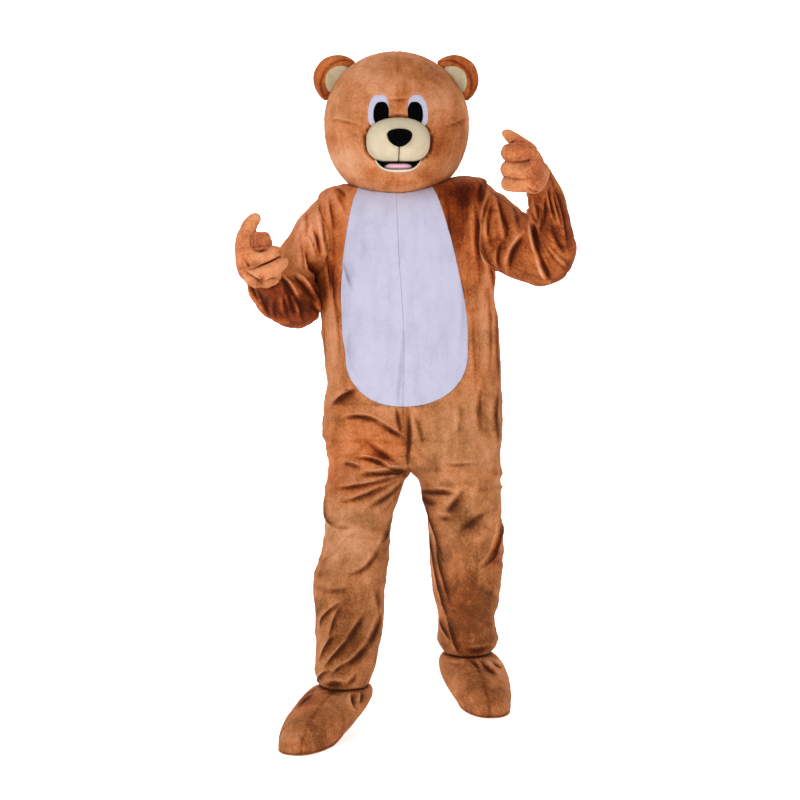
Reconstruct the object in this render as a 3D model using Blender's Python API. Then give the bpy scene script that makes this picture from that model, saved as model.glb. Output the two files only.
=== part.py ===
"""Bear mascot costume, as worn: a one-piece plush suit, a bear head, two gloves and two shoe covers.

Metres, +Z up. The costume faces -Y and the wearer's left is +X. Heights in the tables are measured
from the ground, and ORIGIN_HEIGHT then moves the origin to the middle of the wearer's shoulders.
Every cloth piece is a wall between an outer and an inner skin, with SEAM_GAP between neighbours.
"""
import math

import bmesh
import bpy
import numpy as np

# ---- driving dimensions -------------------------------------------------------------------------
ORIGIN_HEIGHT = 1.45        # the wearer's shoulders above the ground
SEAM_GAP = 0.0004           # between two pieces that are sewn together
PLUSH = 0.003               # short-pile velour with its backing
FELT = 0.002                # eyes and pupils
HEAD_WALL = 0.008           # plush over foam
LAID_ON = 0.0005            # between a piece and the curved piece that it lies on
TUCK = 0.0024               # from a cuff or hem to the piece that runs up inside it

HEAD_CENTRE = (-0.010, -0.020, 1.663)
HEAD_RADIUS = 0.203
HEAD_DEPTH = 0.97           # front to back, as a share of the width
HEAD_UP = 0.197             # centre to crown
HEAD_DOWN = 0.215           # centre to the bottom of the closed form
HEAD_SQUARE = 2.2           # exponent of the lower half's outline
HEAD_TURN = 1.7             # degrees, toward the wearer's left
HEAD_STEPS = 8              # faces along each side of a head panel
HOLE_FRONT = 66.0           # how far below the equator the neck hole starts, in degrees
HOLE_BACK = 56.0
HEAD_SEAT = 0.0050          # the suit's neckline below the head that rests on it

BELLY_ARC_TOP = 1.020       # below this height the belly panel's edge is a round arc
BELLY_BOTTOM = 0.879
BELLY_ROUND = 2.2           # exponent of that arc
BELLY_COLUMNS = 5
CROTCH = 0.686
CROTCH_POINT = (0.025, -0.020, 0.682)
CROTCH_PINCH = 0.045        # the four seams meet within this distance and press the pile flat
NAPE_RISE = 0.022           # the neckline is this much higher behind than in front
NAPE_FADE = 0.10            # and level with it this far below
HEM = 0.130                 # trouser hems, over the shoe covers
FRONT_COLUMNS = 6
BACK_COLUMNS = 6
ARM_STEPS = 9               # faces along half an armhole
SHOE_STEPS = 10             # faces round half a shoe cover
FINGER_SIDES = 10
PATCH_SPOKES = 16
PATCH_RINGS = 2
EAR_SPOKES = 12

TORSO = """
height  centre  left_side right_side left_rise right_rise middle front back wrap
1.4640  -0.011   0.137    -0.137      0.0420    0.0230    -0.004  0.110 0.112  90
1.4550  -0.011   0.166    -0.168      0.0570    0.0330    -0.002  0.120 0.124  90
1.4440  -0.010   0.204    -0.200      0.0680    0.0350     0.000  0.130 0.134  90
1.4250  -0.009   0.240    -0.226      0.0740    0.0330     0.000  0.140 0.140  90
1.4000  -0.008   0.256    -0.240      0.0620    0.0240     0.000  0.147 0.143  90
1.350   -0.005   0.263    -0.236      0.0300    0.0100     0.000  0.154 0.142  90
1.300   -0.003   0.267    -0.234      0.0140    0.0040     0.000  0.156 0.138  90
1.240    0.001   0.267    -0.229      0.0040    0.0000     0.000  0.157 0.132  90
1.180    0.005   0.263    -0.225      0.0000    0.0000     0.000  0.158 0.128  90
1.117    0.009   0.272    -0.221      0.0000    0.0000     0.000  0.158 0.126  90
1.040    0.011   0.278    -0.214      0.0000    0.0000     0.000  0.157 0.128  90
0.985    0.010   0.280    -0.206      0.0000    0.0000     0.000  0.154 0.134  90
0.935    0.009   0.281    -0.203      0.0000    0.0000     0.000  0.150 0.140  90
0.890    0.008   0.284    -0.212      0.0000    0.0000     0.000  0.147 0.144  90
0.826    0.011   0.289    -0.216      0.0000    0.0000     0.000  0.143 0.144  91
0.790    0.014   0.288    -0.216      0.0000    0.0000     0.000  0.140 0.141  95
0.760    0.017   0.287    -0.210      0.0000    0.0000     0.000  0.136 0.137 103
0.735    0.020   0.286    -0.206      0.0000    0.0000     0.000  0.132 0.133 116
0.712    0.024   0.286    -0.203      0.0000    0.0000     0.000  0.128 0.129 136
0.697    0.027   0.285    -0.203      0.0000    0.0000     0.000  0.125 0.126 156
"""

LEFT_LEG = """
height  inner  outer  middle front back
0.686   0.029  0.285  0.000  0.123 0.124
0.655   0.058  0.285  0.004  0.119 0.120
0.618   0.067  0.288  0.010  0.115 0.117
0.576   0.079  0.288  0.018  0.111 0.113
0.520   0.084  0.290  0.030  0.107 0.108
0.479   0.087  0.294  0.041  0.105 0.105
0.429   0.090  0.295  0.053  0.103 0.102
0.375   0.094  0.294  0.066  0.101 0.100
0.325   0.099  0.290  0.078  0.098 0.098
0.280   0.109  0.282  0.089  0.095 0.096
0.239   0.115  0.274  0.099  0.091 0.092
0.200   0.116  0.276  0.109  0.087 0.087
0.166   0.113  0.284  0.117  0.082 0.082
0.146   0.120  0.279  0.119  0.077 0.077
0.130   0.129  0.270  0.120  0.073 0.073
"""

RIGHT_LEG = """
height  inner  outer  middle front back
0.686    0.029 -0.204  0.000 0.123 0.124
0.651    0.008 -0.207 -0.015 0.119 0.120
0.602   -0.010 -0.212 -0.037 0.114 0.116
0.560   -0.026 -0.209 -0.058 0.110 0.111
0.512   -0.033 -0.209 -0.081 0.106 0.107
0.453   -0.036 -0.219 -0.109 0.103 0.103
0.404   -0.041 -0.234 -0.133 0.101 0.101
0.351   -0.047 -0.237 -0.158 0.098 0.098
0.305   -0.048 -0.231 -0.180 0.094 0.094
0.255   -0.053 -0.231 -0.203 0.090 0.090
0.210   -0.064 -0.228 -0.225 0.086 0.086
0.180   -0.070 -0.230 -0.243  0.083 0.083
0.158   -0.077 -0.230 -0.257  0.080 0.078
0.142   -0.083 -0.225 -0.260  0.076 0.075
0.130   -0.085 -0.221 -0.260 0.072 0.072
"""

# Heights of the rows that cross the whole suit, apart from the armhole's and the belly arc's own rows.
PLAIN_ROWS = (1.4640, 1.4550, 1.4420, 1.205, 1.160, 1.110, 1.060,
              0.850, 0.815, 0.780, 0.752, 0.730, 0.712, 0.698, 0.686,
              0.658, 0.620, 0.575, 0.525, 0.475, 0.425, 0.375, 0.325, 0.280, 0.240, 0.200, 0.166,
              0.146, 0.130)

# Half widths of the belly panel from the suit's centre line, down to the top of its arc.
BELLY_EDGE = """
height  left   right
1.4640  0.096  0.102
1.430   0.113  0.119
1.360   0.136  0.139
1.300   0.151  0.151
1.230   0.163  0.162
1.146   0.172  0.168
1.083   0.176  0.168
1.020   0.175  0.160
"""

# The largest folds, as troughs (depth below 0) and ridges between two points seen from the front or back.
FOLDS = """
face  x1     z1     x2     z2     depth  width
-1   -0.170  0.868 -0.105  0.925 -0.012  0.026
-1   -0.145  0.842 -0.060  0.832 -0.007  0.026
-1   -0.060  0.832  0.005  0.790 -0.008  0.026
-1   -0.110  0.724  0.000  0.694 -0.011  0.026
-1   -0.115  0.706 -0.070  0.716 -0.006  0.026
-1   -0.095  0.680  0.010  0.670 -0.012  0.026
-1   -0.150  0.640  0.000  0.655  0.006  0.026
-1    0.055  0.625  0.135  0.628 -0.008  0.026
-1    0.130  0.575  0.185  0.635 -0.008  0.026
-1    0.190  0.525  0.270  0.585 -0.007  0.026
-1    0.290  0.520  0.235  0.420 -0.008  0.026
-1    0.085  0.560  0.100  0.330 -0.008  0.026
-1    0.110  0.400  0.165  0.190 -0.008  0.026
-1   -0.145  0.330 -0.205  0.165 -0.009  0.026
-1   -0.095  0.290 -0.190  0.150 -0.008  0.026
-1   -0.205  1.400 -0.190  1.150 -0.008  0.026
-1    0.225  1.420  0.245  1.080 -0.008  0.026
-1   -0.155  1.300 -0.140  1.150 -0.005  0.026
-1    0.172  1.290  0.175  1.080 -0.005  0.026
 1   -0.180  1.380 -0.120  1.150 -0.010  0.026
 1    0.210  1.400  0.150  1.160 -0.010  0.026
 1   -0.120  1.080  0.140  1.050 -0.008  0.026
 1   -0.140  0.990  0.060  1.020 -0.008  0.026
 1   -0.130  0.760  0.010  0.705 -0.012  0.026
 1    0.190  0.770  0.040  0.700 -0.012  0.026
 1   -0.190  0.640 -0.050  0.670 -0.008  0.026
 1    0.250  0.630  0.080  0.660 -0.008  0.026
 1   -0.200  0.460 -0.060  0.500 -0.009  0.026
 1    0.270  0.470  0.110  0.500 -0.009  0.026
 1   -0.190  0.230 -0.100  0.290 -0.008  0.026
 1    0.250  0.240  0.150  0.290 -0.008  0.026
"""

# Armholes: loops on the suit's surface round its side line.
ARMHOLES = {
    "left": {"top": 1.425, "bottom": 1.245, "spread": 39.0},
    "right": {"top": 1.425, "bottom": 1.232, "spread": 39.0},
}

# Sleeve rings. lean turns the ring's "over" radius from outward (0) to up (90) to inward (180), and
# pitch turns its "fore" radius from forward (0) to up (90).
LEFT_SLEEVE = """
x      y      z      lean   pitch  over   fore
0.271  -0.004 1.3620  93.0    0.0  0.1130 0.096
0.300  -0.008 1.3470  95.0    0.0  0.1150 0.098
0.329  -0.014 1.3290  98.5    0.0  0.1120 0.099
0.360  -0.022 1.3160 104.0   -4.0  0.1130 0.100
0.390  -0.036 1.3150 113.0  -10.0  0.1095 0.100
0.413  -0.056 1.3305 126.0  -20.0  0.1020 0.097
0.4215 -0.080 1.3560 138.5  -30.0  0.0905 0.088
0.419  -0.112 1.3845 149.0  -38.0  0.0780 0.076
0.412  -0.145 1.4065 154.0  -44.0  0.0675 0.065
0.403  -0.175 1.4290 163.0  -48.0  0.0575 0.056
0.393  -0.205 1.4555 180.0  -50.0  0.0480 0.048
0.3835 -0.230 1.4765 201.0  -50.0  0.0434 0.043
0.3765 -0.250 1.4930 217.0  -48.0  0.0418 0.041
"""

RIGHT_SLEEVE = """
x       y      z      lean   pitch  over   fore
-0.2455 -0.004 1.3280  84.0    2.0  0.0965 0.091
-0.2605 -0.008 1.3080  74.5    4.0  0.0880 0.092
-0.2760 -0.012 1.2800  62.5    6.0  0.0820 0.094
-0.2885 -0.017 1.2520  50.5    9.0  0.0800 0.095
-0.2985 -0.026 1.2210  41.0   16.0  0.0795 0.100
-0.3060 -0.044 1.1930  29.0   30.0  0.0805 0.104
-0.3160 -0.078 1.1780  17.0   50.0  0.0800 0.105
-0.3300 -0.124 1.1840  10.0   64.0  0.0775 0.096
-0.3430 -0.168 1.2010   6.0   70.0  0.0735 0.080
-0.3540 -0.208 1.2240   4.0   72.0  0.0650 0.061
-0.3600 -0.238 1.2400   3.0   72.0  0.0560 0.051
-0.3615 -0.254 1.2475   3.0   70.0  0.0510 0.047
-0.3620 -0.270 1.2550   3.0   68.0  0.0490 0.045
"""

SLEEVE_FOLDS = """
face  x1     z1     x2     z2     depth  width
-1   -0.240  1.440 -0.237  1.300 -0.008  0.024
-1   -0.285  1.330 -0.262  1.240 -0.007  0.024
-1   -0.250  1.215 -0.315  1.120 -0.008  0.024
-1   -0.290  1.225 -0.340  1.130 -0.007  0.024
-1    0.250  1.450  0.262  1.290 -0.008  0.024
-1    0.352  1.400  0.305  1.310 -0.008  0.024
-1    0.372  1.420  0.420  1.270 -0.009  0.024
-1    0.400  1.330  0.455  1.280 -0.007  0.024
 1   -0.260  1.400 -0.300  1.260 -0.008  0.024
 1    0.290  1.430  0.350  1.260 -0.008  0.024
"""

# Hand rings start inside the cuff, at the last sleeve rings' own places. square is the ring's exponent.
LEFT_HAND = """
x      y      z      lean   pitch  over   fore   square
0.3730 -0.264 1.4990 214.0  -52.0  0.0395 0.0400 2.0
0.3680 -0.284 1.5040 204.0  -54.0  0.0310 0.0490 2.4
0.3625 -0.302 1.5170 192.0  -40.0  0.0240 0.0480 3.0
0.3590 -0.304 1.5400 184.0  -16.0  0.0215 0.0420 3.0
0.3540 -0.300 1.5600 180.0   -4.0  0.0175 0.0340 3.0
0.3490 -0.296 1.5740 180.0    0.0  0.0110 0.0260 2.6
0.3465 -0.294 1.5800 180.0    0.0  0.0060 0.0140 2.2
"""

RIGHT_HAND = """
x       y      z      lean   pitch  over   fore   square
-0.3650 -0.281 1.2570   0.0   78.0  0.0425 0.0365 2.0
-0.3860 -0.296 1.2660   0.0   90.0  0.0320 0.0420 2.2
-0.4080 -0.315 1.2800   0.0  104.0  0.0270 0.0450 3.0
-0.4085 -0.332 1.3040   0.0  136.0  0.0270 0.0430 3.0
-0.4085 -0.340 1.3300   0.0  165.0  0.0265 0.0370 3.0
-0.4070 -0.342 1.3540   0.0  176.0  0.0220 0.0290 2.6
-0.4050 -0.343 1.3645   0.0  180.0  0.0192 0.0200 2.2
"""
KNUCKLES = {"left": 0.3415, "right": 0.3885}    # the flat side of each hand that its fingers are sewn to

# Fingers and thumbs: straight thimbles from an open root to a round tip. The root is cut off where the
# coordinate named by axis reaches seat. square is the section's exponent.
FINGERS = """
hand  number  x1      y1      z1     x2      y2      z2     high    deep   square axis seat
 1    1       0.3411 -0.313  1.5580  0.2700 -0.317  1.5660  0.0202  0.028  2.6    0    0.3411
 1    2       0.3411 -0.315  1.5180  0.2655 -0.319  1.5220  0.0190  0.030  2.6    0    0.3411
 1    3       0.3411 -0.313  1.4780  0.2660 -0.317  1.4800  0.0195  0.029  2.6    0    0.3411
 1    0       0.3411 -0.267  1.5740  0.2740 -0.270  1.6270  0.0175  0.017  2.2    0    0.3411
-1    1      -0.3881 -0.346  1.3385 -0.3310 -0.358  1.3430  0.0195  0.027  2.4    0   -0.3881
-1    2      -0.3881 -0.350  1.2880 -0.3010 -0.356  1.3080  0.0190  0.028  2.6    0   -0.3881
-1    3      -0.3881 -0.352  1.2460 -0.2960 -0.357  1.2690  0.0188  0.027  2.6    0   -0.3881
-1    0      -0.4050 -0.343  1.3652 -0.3800 -0.350  1.4100  0.0190  0.019  2.2    2    1.3652
"""
FINGER_PROFILE = ((0.0, 1.0), (0.5, 1.04), (0.80, 0.94), (0.95, 0.58), (1.0, 0.0))

# Shoe covers: ring heights and reach (0 at the ankle, 1 at the sole's edge), toward the toe and at the sides.
SHOE = """
toe_reach toe_height side_reach side_height bulge
0.00      0.152      0.00       0.152       0.000
0.00      0.126      0.00       0.126       0.000
0.10      0.118      0.10       0.112       0.015
0.32      0.104      0.30       0.088       0.020
0.56      0.087      0.55       0.062       0.019
0.78      0.064      0.80       0.038       0.015
0.93      0.036      0.94       0.019       0.009
0.985     0.0165     1.00       0.009       0.004
1.00      0.0050     1.00       0.0050      0.000
"""
SHOE_LENGTH = 0.360
SHOE_HALF_WIDTH = 0.068
SHOE_TAPER = 0.22           # wider toward the toe, narrower at the heel
SOLE_THICKNESS = 0.0045
LIFT_FLOOR = 0.006          # what lies below this height rises by the whole lift
FEET = {
    "left": {"ankle": (0.1995, 0.120), "turn": 10.5,
             "heel_back": 0.078, "shift": 0.014, "heel_lift": 0.030},
    "right": {"ankle": (-0.1530, -0.260), "turn": -22.5,
              "heel_back": 0.078, "shift": -0.028, "heel_lift": 0.045},
}

EAR_RADIUS = 0.0685
EAR_CENTRE = (0.1625, 0.121)    # from the head's centre, outward and up
EAR_SET_BACK = 0.022
EAR_HALF_THICKNESS = 0.017

MUZZLE = {"x": 0.000, "z": -0.0590, "half_x": 0.0865, "half_z": 0.0600, "out": 0.080, "power": 2.3}
NOSE = {"x": 0.001, "z": -0.0530, "half_x": 0.0335, "half_z": 0.0245, "out": 0.013}
NOSE_SEAT = 0.0012
EYES = {
    "left": {"x": 0.0530, "z": 0.020, "half_x": 0.0270, "half_z": 0.043, "lean": -0.10},
    "right": {"x": -0.0540, "z": 0.020, "half_x": 0.0270, "half_z": 0.043, "lean": 0.10},
}
PUPILS = {
    "left": {"x": 0.0457, "z": 0.013, "half_x": 0.0205, "half_z": 0.031, "lean": -0.05},
    "right": {"x": -0.0468, "z": 0.013, "half_x": 0.0205, "half_z": 0.031, "lean": 0.05},
}
MOUTH_HALF = 0.060
TONGUE_HALF = 0.041

COLOURS = {
    "brown_plush": ("#B5713F", 0.85),
    "cream_plush": ("#D8C49C", 0.85),
    "white_fleece": ("#D9D7E8", 0.9),
    "white_felt": ("#DCDAEE", 0.9),
    "black_felt": ("#0E0C0B", 0.8),
    "pink_felt": ("#DDB0BC", 0.9),
}


# ---- tables and materials -----------------------------------------------------------------------
def table(text):
    """Columns of numbers by name, from a block whose first line holds the names."""
    lines = text.strip().splitlines()
    values = np.array([[float(word) for word in line.split()] for line in lines[1:]])
    return dict(zip(lines[0].split(), values.T))


def smooth(places, values, at):
    """A cubic through the points that keeps rising or falling runs free of overshoot."""
    order = np.argsort(places)
    places, values = places[order], values[order]
    steps = np.diff(places)
    rates = np.diff(values) / steps
    slopes = np.concatenate([rates[:1], np.zeros(len(rates) - 1), rates[-1:]])
    same = rates[:-1] * rates[1:] > 0
    total = np.where(same, rates[:-1] + rates[1:], 1.0)
    slopes[1:-1] = np.where(same, 2 * rates[:-1] * rates[1:] / total, 0.0)
    at = np.clip(at, places[0], places[-1])
    k = np.clip(np.searchsorted(places, at) - 1, 0, len(steps) - 1)
    u = (at - places[k]) / steps[k]
    return ((1 + 2 * u) * (1 - u) ** 2 * values[k] + u * (1 - u) ** 2 * steps[k] * slopes[k]
            + u * u * (3 - 2 * u) * values[k + 1] + u * u * (u - 1) * steps[k] * slopes[k + 1])


def linear(channel):
    """One sRGB channel from 0 to 1 as linear light."""
    return channel / 12.92 if channel <= 0.04045 else ((channel + 0.055) / 1.055) ** 2.4


def make_materials():
    made = {}
    for name, (colour, roughness) in COLOURS.items():
        material = bpy.data.materials.new(name)
        material.use_nodes = True
        shader = material.node_tree.nodes["Principled BSDF"]
        red, green, blue = (linear(int(colour[i:i + 2], 16) / 255) for i in (1, 3, 5))
        shader.inputs["Base Color"].default_value = (red, green, blue, 1.0)
        shader.inputs["Roughness"].default_value = roughness
        shader.inputs["Metallic"].default_value = 0.0
        made[name] = material
    return made


# ---- walls --------------------------------------------------------------------------------------
def unit(vectors):
    return vectors / np.maximum(np.linalg.norm(vectors, axis=-1, keepdims=True), 1e-12)


def grid_triangles(points, wrapped):
    """Corner numbers of a grid's triangles; each quad is split along its shorter diagonal."""
    rows, columns = points.shape[:2]
    triangles = []
    for i in range(rows - 1):
        for j in range(columns if wrapped else columns - 1):
            k = (j + 1) % columns
            a, b, c, d = i * columns + j, i * columns + k, (i + 1) * columns + k, (i + 1) * columns + j
            one = np.linalg.norm(points[i + 1, k] - points[i, j])
            other = np.linalg.norm(points[i + 1, j] - points[i, k])
            triangles += [[a, b, c], [a, c, d]] if one < other else [[a, b, d], [b, c, d]]
    return triangles


def border(rows, columns, wrapped, capped):
    """The open edges of a grid as lists of point numbers."""
    top = list(range(columns))
    bottom = [(rows - 1) * columns + j for j in range(columns)]
    if wrapped:
        loops = [top + top[:1], bottom + bottom[:1]]
        return loops[:1] if capped else loops
    left = [i * columns for i in range(rows)]
    right = [i * columns + columns - 1 for i in range(rows)]
    return [top, bottom, left, right]


def wall(name, outer, inner, material, wrapped=False, capped=False):
    """A closed solid between two grids of points; capped: the last row is a single point."""
    rows, columns = outer.shape[:2]
    count = rows * columns
    points = np.concatenate([outer.reshape(-1, 3), inner.reshape(-1, 3)])
    points[:, 2] -= ORIGIN_HEIGHT
    faces = grid_triangles(outer, wrapped)
    faces += [[count + corner for corner in face[::-1]] for face in faces]
    for edge in border(rows, columns, wrapped, capped):
        faces += [[a, b, b + count, a + count] for a, b in zip(edge, edge[1:])]
    mesh = bpy.data.meshes.new(name)
    mesh.from_pydata(points.tolist(), [], faces)
    tidy = bmesh.new()
    tidy.from_mesh(mesh)
    bmesh.ops.remove_doubles(tidy, verts=tidy.verts, dist=1e-6)
    bmesh.ops.recalc_face_normals(tidy, faces=tidy.faces)
    tidy.to_mesh(mesh)
    tidy.free()
    mesh.materials.append(material)
    mesh.shade_smooth()
    mesh.set_sharp_from_angle(angle=math.radians(50))
    piece = bpy.data.objects.new(name, mesh)
    bpy.data.collections["bear_mascot_costume"].objects.link(piece)
    return piece


def grid_normals(grid, wrapped, sign):
    """Normals of a grid of points from its own neighbours."""
    if wrapped:
        across = np.roll(grid, -1, axis=1) - np.roll(grid, 1, axis=1)
    else:
        across = np.gradient(grid, axis=1)
    return unit(np.cross(across, np.gradient(grid, axis=0)) * sign)


def pulled_back(grid, normals, sides, amount):
    """Moves the named borders into the piece, at right angles to the seam and within the surface."""
    moved = grid.copy()
    for side in sides:
        swap = side in ("left", "right")
        source = grid.transpose(1, 0, 2) if swap else grid
        target = moved.transpose(1, 0, 2) if swap else moved
        facing = normals.transpose(1, 0, 2) if swap else normals
        edge, inside = (0, 1) if side in ("left", "top") else (-1, -2)
        along = unit(np.gradient(source[edge], axis=0))
        inward = unit(source[inside] - source[edge] + 1e-9)
        square = unit(np.cross(along, facing[edge]))
        square *= np.sign(np.sum(square * inward, axis=-1, keepdims=True))
        target[edge] += square * amount
    return moved


# ---- the suit -----------------------------------------------------------------------------------
def suit_tables():
    """One table for each side, from the neckline to the hem."""
    torso = table(TORSO)
    made = {}
    for side, leg in (("left", table(LEFT_LEG)), ("right", table(RIGHT_LEG))):
        none = np.zeros(len(leg["height"]))
        made[side] = {
            "height": np.concatenate([torso["height"], leg["height"]]),
            "inner": np.concatenate([torso["centre"], leg["inner"]]),
            "outer": np.concatenate([torso[side + "_side"], leg["outer"]]),
            "rise": np.concatenate([torso[side + "_rise"], none]),
            "wrap": np.concatenate([torso["wrap"], none + 180]),
        }
        for name in ("middle", "front", "back"):
            made[side][name] = np.concatenate([torso[name], leg[name]])
    return made


SUIT = suit_tables()
SIGN = {"left": 1.0, "right": -1.0}


def fold_depth(folds, points, face):
    """Sum of the folds at the points; face is -1 in front and 1 behind, per point."""
    total = np.zeros(points.shape[:-1])
    x, z = points[..., 0], points[..., 2]
    for k in range(len(folds["face"])):
        start = np.array([folds["x1"][k], folds["z1"][k]])
        run = np.array([folds["x2"][k], folds["z2"][k]]) - start
        share = ((x - start[0]) * run[0] + (z - start[1]) * run[1]) / (run @ run)
        share = np.clip(share, 0, 1)
        away = np.hypot(x - start[0] - share * run[0], z - start[1] - share * run[1])
        taper = 0.35 + 0.65 * np.sin(math.pi * np.clip(share, 0.02, 0.98))
        here = folds["depth"][k] * taper * np.exp(-(away / folds["width"][k]) ** 2)
        total += np.where(face == folds["face"][k], here, 0.0)
    return total


def head_underside(x, y):
    """Height of the head's lower half above a point; the suit's neckline lies below it."""
    away = np.hypot(x - HEAD_CENTRE[0], (y - HEAD_CENTRE[1]) / HEAD_DEPTH) / HEAD_RADIUS
    return HEAD_CENTRE[2] - HEAD_DOWN * (1 - np.minimum(away, 1) ** HEAD_SQUARE) ** (1 / HEAD_SQUARE)


def suit_form(side, height, t):
    """The suit's surface without folds; t runs from 0 in front, by 0.5 at the side, to 1 behind."""
    rows = SUIT[side]
    value = {name: smooth(rows["height"], rows[name], height) for name in rows if name != "height"}
    wrap = np.radians(value["wrap"])
    angle = wrap * (1 - 2 * t)
    radius = (value["outer"] - value["inner"]) / (1 - np.cos(wrap))
    depth = np.where(angle > 0, value["front"], value["back"])
    x = value["outer"] - radius + radius * np.cos(angle)
    y = value["middle"] - depth * np.sin(angle)
    top = np.clip(1 - (rows["height"].max() - height) / NAPE_FADE, 0, 1)
    nape = NAPE_RISE * top * top * np.maximum(-np.sin(angle), 0) ** 2
    z = height + value["rise"] * np.maximum(np.cos(angle), 0) ** 1.5 + nape
    return np.stack([x, y, np.minimum(z, head_underside(x, y) - HEAD_SEAT)], axis=-1)


def normals_of(surface, side, height, t):
    """Outward normals of a surface of height and t, by small steps."""
    low, high = SUIT[side]["height"].min(), SUIT[side]["height"].max()
    step = 0.002
    down = surface(side, np.maximum(height - step, low), t)
    up = surface(side, np.minimum(height + step, high), t)
    across = surface(side, height, t + step) - surface(side, height, t - step)
    return unit(np.cross(up - down, across) * SIGN[side])


def suit_surface(side, height, t):
    """The suit's outer surface with its largest folds."""
    form = suit_form(side, height, t)
    face = np.where(t < 0.5, -1, 1)
    fade = np.clip(np.abs(t - 0.5) / 0.08, 0, 1)
    depth = fold_depth(table(FOLDS), form, face) * fade * fade * (3 - 2 * fade)
    return form + normals_of(suit_form, side, height, t) * depth[..., None]


def belly_half_width(side, height):
    """From the suit's centre line to the belly panel's edge."""
    edge = table(BELLY_EDGE)
    plain = smooth(edge["height"], edge[side], height)
    drop = np.clip((BELLY_ARC_TOP - height) / (BELLY_ARC_TOP - BELLY_BOTTOM), 0, 1)
    return plain * (1 - drop ** BELLY_ROUND) ** (1 / BELLY_ROUND)


def belly_t(side, height):
    """The belly panel's edge as a value of t; 0 below the panel."""
    rows = SUIT[side]
    outer = smooth(rows["height"], rows["outer"], height)
    inner = smooth(rows["height"], rows["inner"], height)
    share = np.clip(belly_half_width(side, height) / np.abs(outer - inner), 0, 0.95)
    return np.where(height > BELLY_BOTTOM, (1 - np.arccos(share) / (math.pi / 2)) / 2, 0.0)


def arc_heights():
    """Rows down the belly panel's round arc, evenly round it."""
    angles = np.radians(np.linspace(0, 90, BELLY_COLUMNS + 4))
    drop = (BELLY_ARC_TOP - BELLY_BOTTOM) * np.sin(angles) ** (2 / BELLY_ROUND)
    return BELLY_ARC_TOP - drop


def armhole_heights(side):
    hole = ARMHOLES[side]
    angles = np.linspace(0, math.pi, ARM_STEPS + 1)
    middle, half = (hole["top"] + hole["bottom"]) / 2, (hole["top"] - hole["bottom"]) / 2
    return middle + half * np.cos(angles)


def suit_heights(side):
    every = np.concatenate([PLAIN_ROWS, armhole_heights(side), arc_heights()])
    return np.sort(every)[::-1]


def side_angle(side, height):
    """Half the armhole's spread at a height, as a share of the wrap; 0 along the side seam."""
    hole = ARMHOLES[side]
    middle, half = (hole["top"] + hole["bottom"]) / 2, (hole["top"] - hole["bottom"]) / 2
    away = np.clip(np.abs(height - middle) / half, 0, 1)
    return hole["spread"] / 90 * np.sqrt(1 - away * away)


def skins(side, height, t, borders):
    """Outer and inner points of a suit piece; its borders are pulled back by half a seam gap."""
    outer = suit_surface(side, height, t)
    normals = normals_of(suit_surface, side, height, t)
    outer = pulled_back(outer, normals, borders, SEAM_GAP / 2)
    near = np.exp(-(np.linalg.norm(outer - np.array(CROTCH_POINT), axis=-1) / CROTCH_PINCH) ** 2)
    inner = outer - normals * (PLUSH * (1 - 0.6 * near))[..., None]
    centre = smooth(SUIT[side]["height"], SUIT[side]["inner"], np.maximum(height, CROTCH))
    for points in (outer, inner):
        beyond = SIGN[side] * (points[..., 0] - centre)
        least = np.where(height > CROTCH - 0.02, SEAM_GAP / 2, -1.0)
        points[..., 0] = np.where(beyond < least, centre + SIGN[side] * SEAM_GAP / 2, points[..., 0])
    return outer, inner


def suit_panel(face, side, material):
    """A front or back panel: half of the torso and one leg, cut in one."""
    heights = suit_heights(side)
    opening = side_angle(side, heights) / 2
    if face == "front":
        start, end, columns = belly_t(side, heights), 0.5 - opening, FRONT_COLUMNS
    else:
        start, end, columns = 0.5 + opening, np.ones(len(heights)), BACK_COLUMNS
    share = np.linspace(0, 1, columns + 1)
    t = start[:, None] + (end - start)[:, None] * share
    height = np.repeat(heights[:, None], columns + 1, axis=1)
    outer, inner = skins(side, height, t, ("left", "right"))
    return wall(f"suit_{face}_{side}", outer, inner, material)


def belly_panel(side, material):
    """Half of the white front, from the centre seam to its curved edge."""
    heights = suit_heights(side)
    arc = arc_heights()
    corner = arc[3]
    straight = heights[heights > corner + 1e-9]
    share = np.linspace(0, 1, BELLY_COLUMNS + 1)
    t = belly_t(side, straight)[:, None] * share
    height = np.repeat(straight[:, None], BELLY_COLUMNS + 1, axis=1)
    last = arc[3:][::-1]
    t = np.vstack([t, belly_t(side, last)])
    height = np.vstack([height, last])
    outer, inner = skins(side, height, t, ("right", "bottom"))
    return wall(f"belly_{side}", outer, inner, material)


# ---- sleeves ------------------------------------------------------------------------------------
def ring_points(row, sign, angles, shrink=0.0):
    """An oval ring: angle 0 is its over side, and 90 degrees its fore side."""
    lean, pitch = math.radians(row["lean"]), math.radians(row["pitch"])
    over = np.array([sign * math.cos(lean), 0.0, math.sin(lean)]) * (row["over"] - shrink)
    fore = np.array([0.0, -math.cos(pitch), math.sin(pitch)]) * (row["fore"] - shrink)
    centre = np.array([row["x"], row["y"], row["z"]])
    power = 2 / row.get("square", 2.0)
    cosine = np.sign(np.cos(angles)) * np.abs(np.cos(angles)) ** power
    sine = np.sign(np.sin(angles)) * np.abs(np.sin(angles)) ** power
    return centre + cosine[:, None] * over + sine[:, None] * fore


def table_rows(columns):
    return [{name: columns[name][k] for name in columns} for k in range(len(next(iter(columns.values()))))]


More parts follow.
